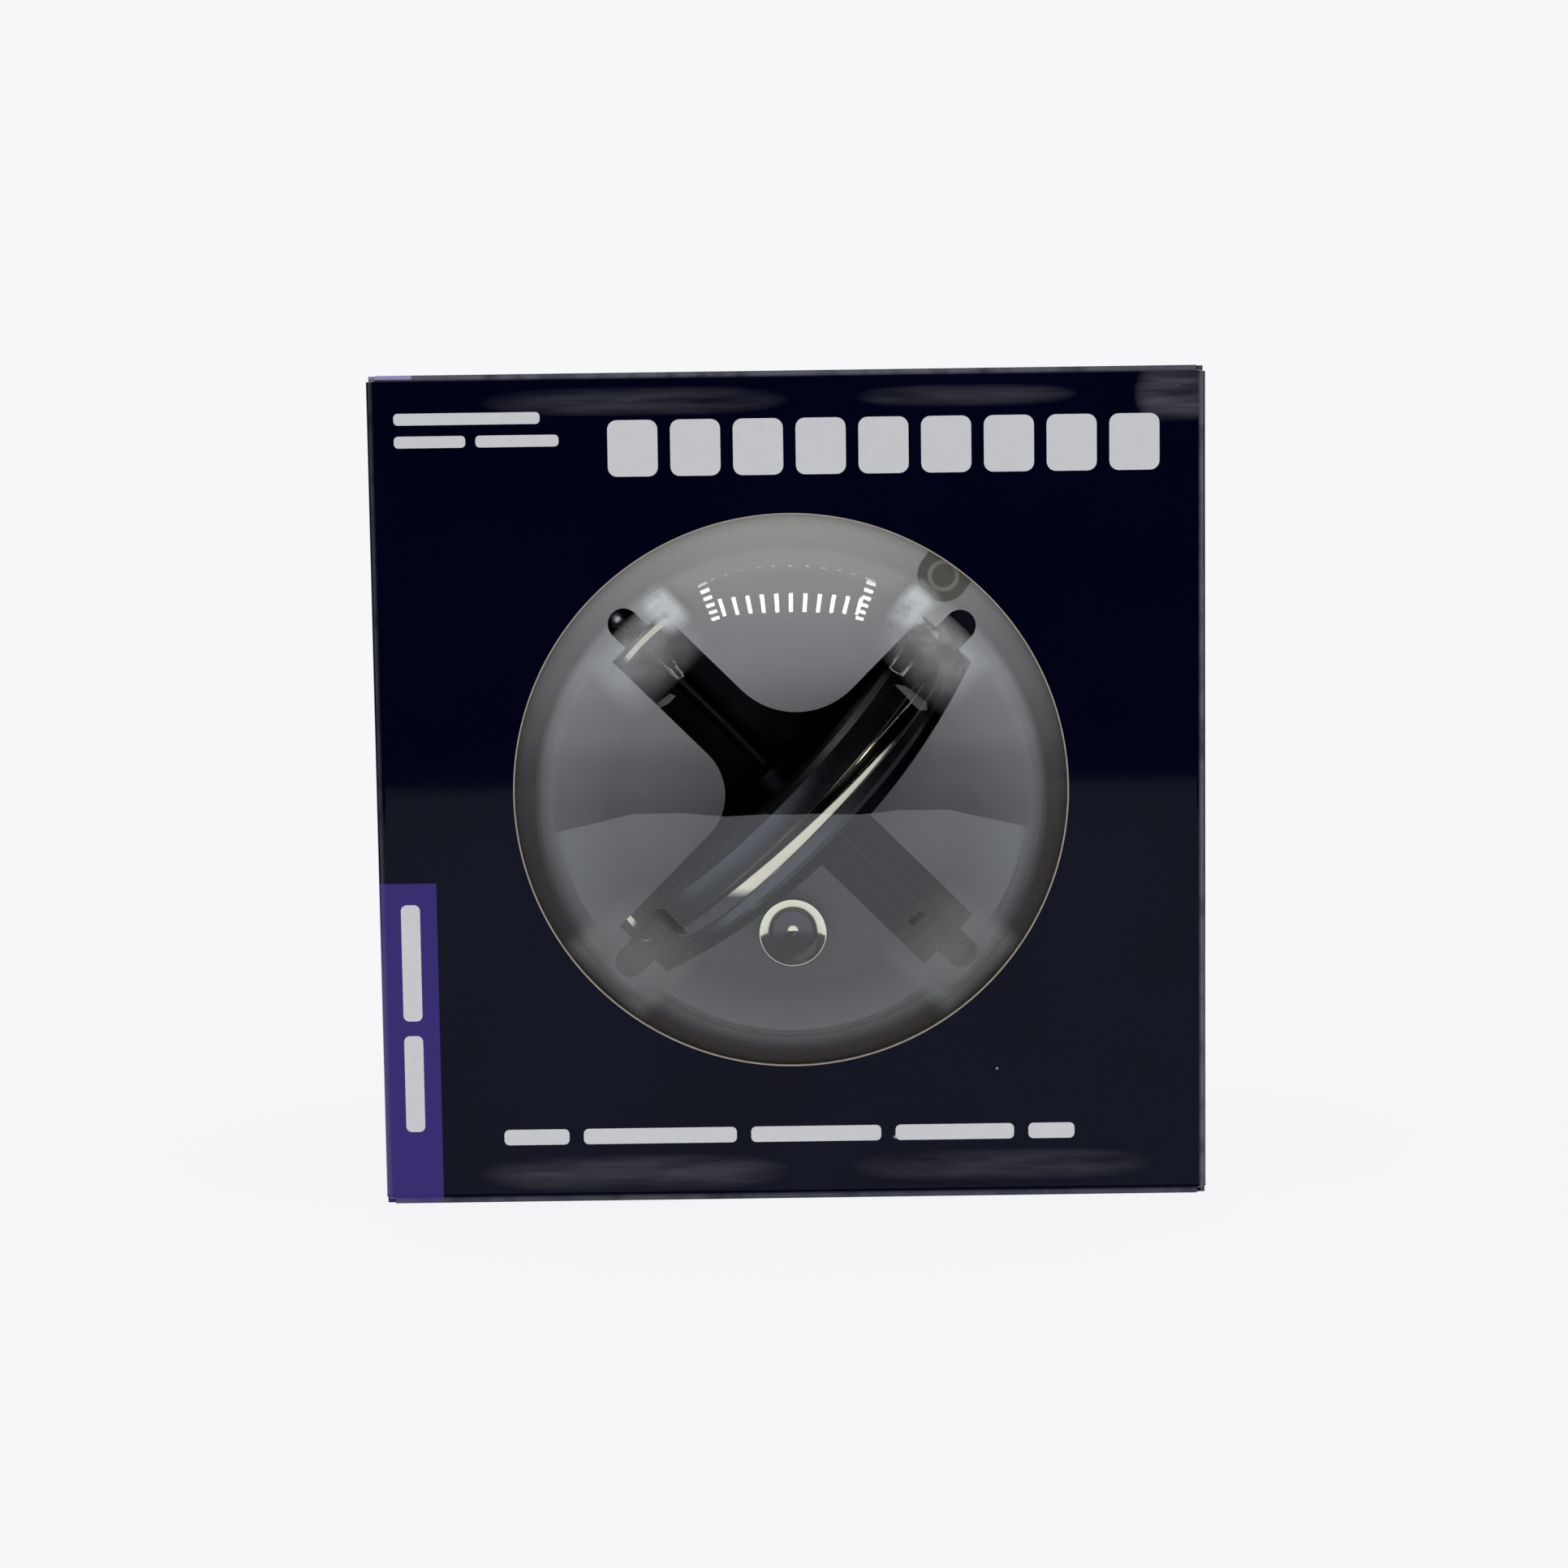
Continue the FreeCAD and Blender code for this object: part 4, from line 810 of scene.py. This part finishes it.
def tape_tab():
    shape = bmesh.new()
    along = Vector((math.cos(TAB_ANGLE), 0, math.sin(TAB_ANGLE)))
    middle = Vector((TAB_MIDDLE[0], CARD_FACE - TAPE, TAB_MIDDLE[1]))
    outline = []
    for i in range(ROUND_STEPS + 1):
        turn_by = TAB_ANGLE + math.pi / 2 + math.pi * i / ROUND_STEPS
        outline.append(middle + TAB_RADIUS * Vector((math.cos(turn_by), 0, math.sin(turn_by))))
    outline += [outline[-1] + along * TAB_LENGTH, outline[0] + along * TAB_LENGTH]
    face = shape.faces.new([shape.verts.new(spot * MM) for spot in outline])
    grown = bmesh.ops.extrude_face_region(shape, geom=[face])["geom"]
    front_verts = [item for item in grown if isinstance(item, bmesh.types.BMVert)]
    bmesh.ops.translate(shape, vec=(0, -TAPE * MM, 0), verts=front_verts)
    bmesh.ops.recalc_face_normals(shape, faces=shape.faces)
    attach(new_object("tape_tab", shape, brown_tape()), "carton")


tape_tab()

# %% [markdown]
# ## Floor, light and what the gloss sees
# The background is a pale studio. The world gives even white light, which shows every colour about as it is
# written, and its pale tone is what the camera, mirrors and glass see. The floor glows a little of its own,
# like a lit table, so that the carton's shadow stays faint. A photographer would hang dark cloths in front
# of a glossy carton, so that it mirrors a dark room, and leave a pale table top in front of it. Both are
# stage pieces here that only glossy rays meet, so that they don't shade the set.

# %% World and floor
PAPER = "#F6F7F9"
world = bpy.data.worlds.new("studio")
bpy.context.scene.world = world
world.use_nodes = True
sky = world.node_tree
sky.nodes.clear()
rays = add(sky, "ShaderNodeLightPath").node
seen = add(sky, "ShaderNodeMath", {0: rays.outputs["Is Camera Ray"], 1: rays.outputs["Is Glossy Ray"]},
           operation="MAXIMUM")
seen = add(sky, "ShaderNodeMath", {0: seen, 1: rays.outputs["Is Transmission Ray"]}, operation="MAXIMUM")
light = add(sky, "ShaderNodeBackground", {"Color": colour("#FFFFFF"), "Strength": 1.0})
backdrop = add(sky, "ShaderNodeBackground", {"Color": colour(PAPER), "Strength": 1.0})
both_worlds = add(sky, "ShaderNodeMixShader", {0: seen, 1: light, 2: backdrop})
sky_out = sky.nodes.new("ShaderNodeOutputWorld")
sky.links.new(both_worlds, sky_out.inputs[0])


def stage_mesh(name, shape, material, only_glossy):
    """Turns a bmesh into a stage piece, if asked one that only glossy rays meet."""
    piece = new_object(name, shape, material)
    if only_glossy:
        piece.visible_camera = False
        piece.visible_diffuse = False
        piece.visible_transmission = False
        piece.visible_volume_scatter = False
        piece.visible_shadow = False
    return piece


def stage_plane(name, corners, material, only_glossy=False):
    """A flat stage piece from its corners."""
    shape = bmesh.new()
    shape.faces.new([shape.verts.new(corner) for corner in corners])
    return stage_mesh(name, shape, material, only_glossy)


def glow_material(name, code, strength, matt_share=0.0):
    """An even glow, if asked with a share of matt paper that takes shadows."""
    material, tree = bare_material(name)
    glow = add(tree, "ShaderNodeEmission", {"Color": colour(code), "Strength": strength})
    matt = add(tree, "ShaderNodeBsdfDiffuse", {"Color": colour(code)})
    mixed = add(tree, "ShaderNodeMixShader", {0: matt_share, 1: glow, 2: matt})
    to_surface(tree, mixed)
    return material


lit_paper = glow_material("lit_paper", PAPER, 1.0, 0.07)
floor = stage_plane("floor", [(-4, -4, 0), (4, -4, 0), (4, 6, 0), (-4, 6, 0)], lit_paper)
floor.visible_glossy = False
print("floor laid")

# %% [markdown]
# ### Table top, cloths and lamps for the reflections
# The table top's outline sets where its mirror image ends on the flat front and on the dome, so it is cut to
# shape: it reaches half a metre in front of the carton and is wider there than beside it. The cloths are
# planes of a dark room. The lamps are short strips overhead in a U; only their mirror images on the dome and
# the rings are wanted, because the world already lights the set.

# %% Reflections
table = glow_material("table_top_glow", "#E9EEF5", 1.15)
cloth = glow_material("dark_cloth", "#101014", 0.3)
# half of the table's outline, from the back to the middle of the front, in metres
TABLE_HALF = ((0.20, 0.40), (0.222, -0.01), (0.295, -0.09), (0.41, -0.20), (0.405, -0.38), (0.235, -0.41),
              (0.13, -0.55))
outline = [(across, deep, 0.001) for across, deep in TABLE_HALF]
outline += [(-across, deep, 0.001) for across, deep in reversed(TABLE_HALF)]
stage_plane("table_top", outline, table, True)
# the dark room, in metres: half its width, its near and far end, its lowest and highest edge, how far back the
# ceiling reaches and how low the floor lies
SIDE, NEAR, FAR, LOW, HIGH, CEILING_END, ROOM_FLOOR = 2.5, -2.0, 3.0, -1.2, 2.6, 0.6, -0.8
for name, corners in (
    ("cloth_front", [(-SIDE, NEAR, LOW), (SIDE, NEAR, LOW), (SIDE, NEAR, HIGH), (-SIDE, NEAR, HIGH)]),
    ("cloth_left", [(-SIDE, NEAR, LOW), (-SIDE, NEAR, HIGH), (-SIDE, FAR, HIGH), (-SIDE, FAR, LOW)]),
    ("cloth_right", [(SIDE, NEAR, LOW), (SIDE, NEAR, HIGH), (SIDE, FAR, HIGH), (SIDE, FAR, LOW)]),
    ("cloth_above", [(-SIDE, NEAR, HIGH), (SIDE, NEAR, HIGH),
                     (SIDE, CEILING_END, HIGH), (-SIDE, CEILING_END, HIGH)]),
    ("cloth_below", [(-SIDE, NEAR, ROOM_FLOOR), (SIDE, NEAR, ROOM_FLOOR),
                     (SIDE, FAR, ROOM_FLOOR), (-SIDE, FAR, ROOM_FLOOR)]),
):
    stage_plane(name, corners, cloth, True)

# the lamps, in metres: their height, the front row's pitch and curve, and the pitch of the rows at the sides
LAMP_STRENGTH, LAMP_HEIGHT = 15.0, 1.0
FRONT_LAMPS, FRONT_PITCH, FRONT_MIDDLE, FRONT_ROW, FRONT_CURVE = 11, 0.0722, 4.8, -0.254, 0.2
SIDE_LAMPS, SIDE_PITCH = 9, 0.036
lamp = glow_material("lamp_strip", "#FFFCF2", LAMP_STRENGTH)
# only the first mirror image of the lamps is wanted, not the one that the front mirrors once more
lamp_tree = lamp.node_tree
depth = add(lamp_tree, "ShaderNodeLightPath").node.outputs["Ray Depth"]
first = add(lamp_tree, "ShaderNodeMath", {0: depth, 1: 1.5}, operation="LESS_THAN")
strength = add(lamp_tree, "ShaderNodeMath", {0: first, 1: LAMP_STRENGTH}, operation="MULTIPLY")
lamp_tree.links.new(strength, lamp_tree.nodes["Emission"].inputs["Strength"])


def lamp_row(name, places, size):
    """A row of small flat lamps facing down."""
    shape = bmesh.new()
    for across, deep in places:
        made = bmesh.ops.create_grid(shape, x_segments=1, y_segments=1, size=0.5)
        bmesh.ops.scale(shape, vec=(size[0], size[1], 1), verts=made["verts"])
        bmesh.ops.translate(shape, vec=(across, deep, LAMP_HEIGHT), verts=made["verts"])
    stage_mesh(name, shape, lamp, True)


# the front row bends back a little to both sides, which its mirror image on the dome straightens
front_places = [FRONT_PITCH * (i - FRONT_MIDDLE) for i in range(FRONT_LAMPS)]
front_row = [(across, FRONT_ROW + FRONT_CURVE * across ** 2) for across in front_places]
lamp_row("lamps_front", front_row, (0.022, 0.09))
for name, across, start in (("lamps_left", -0.405, -0.272), ("lamps_right", 0.40, -0.284)):
    lamp_row(name, [(across, start + SIDE_PITCH * i) for i in range(SIDE_LAMPS)], (0.05, 0.018))
print("lamps hung")
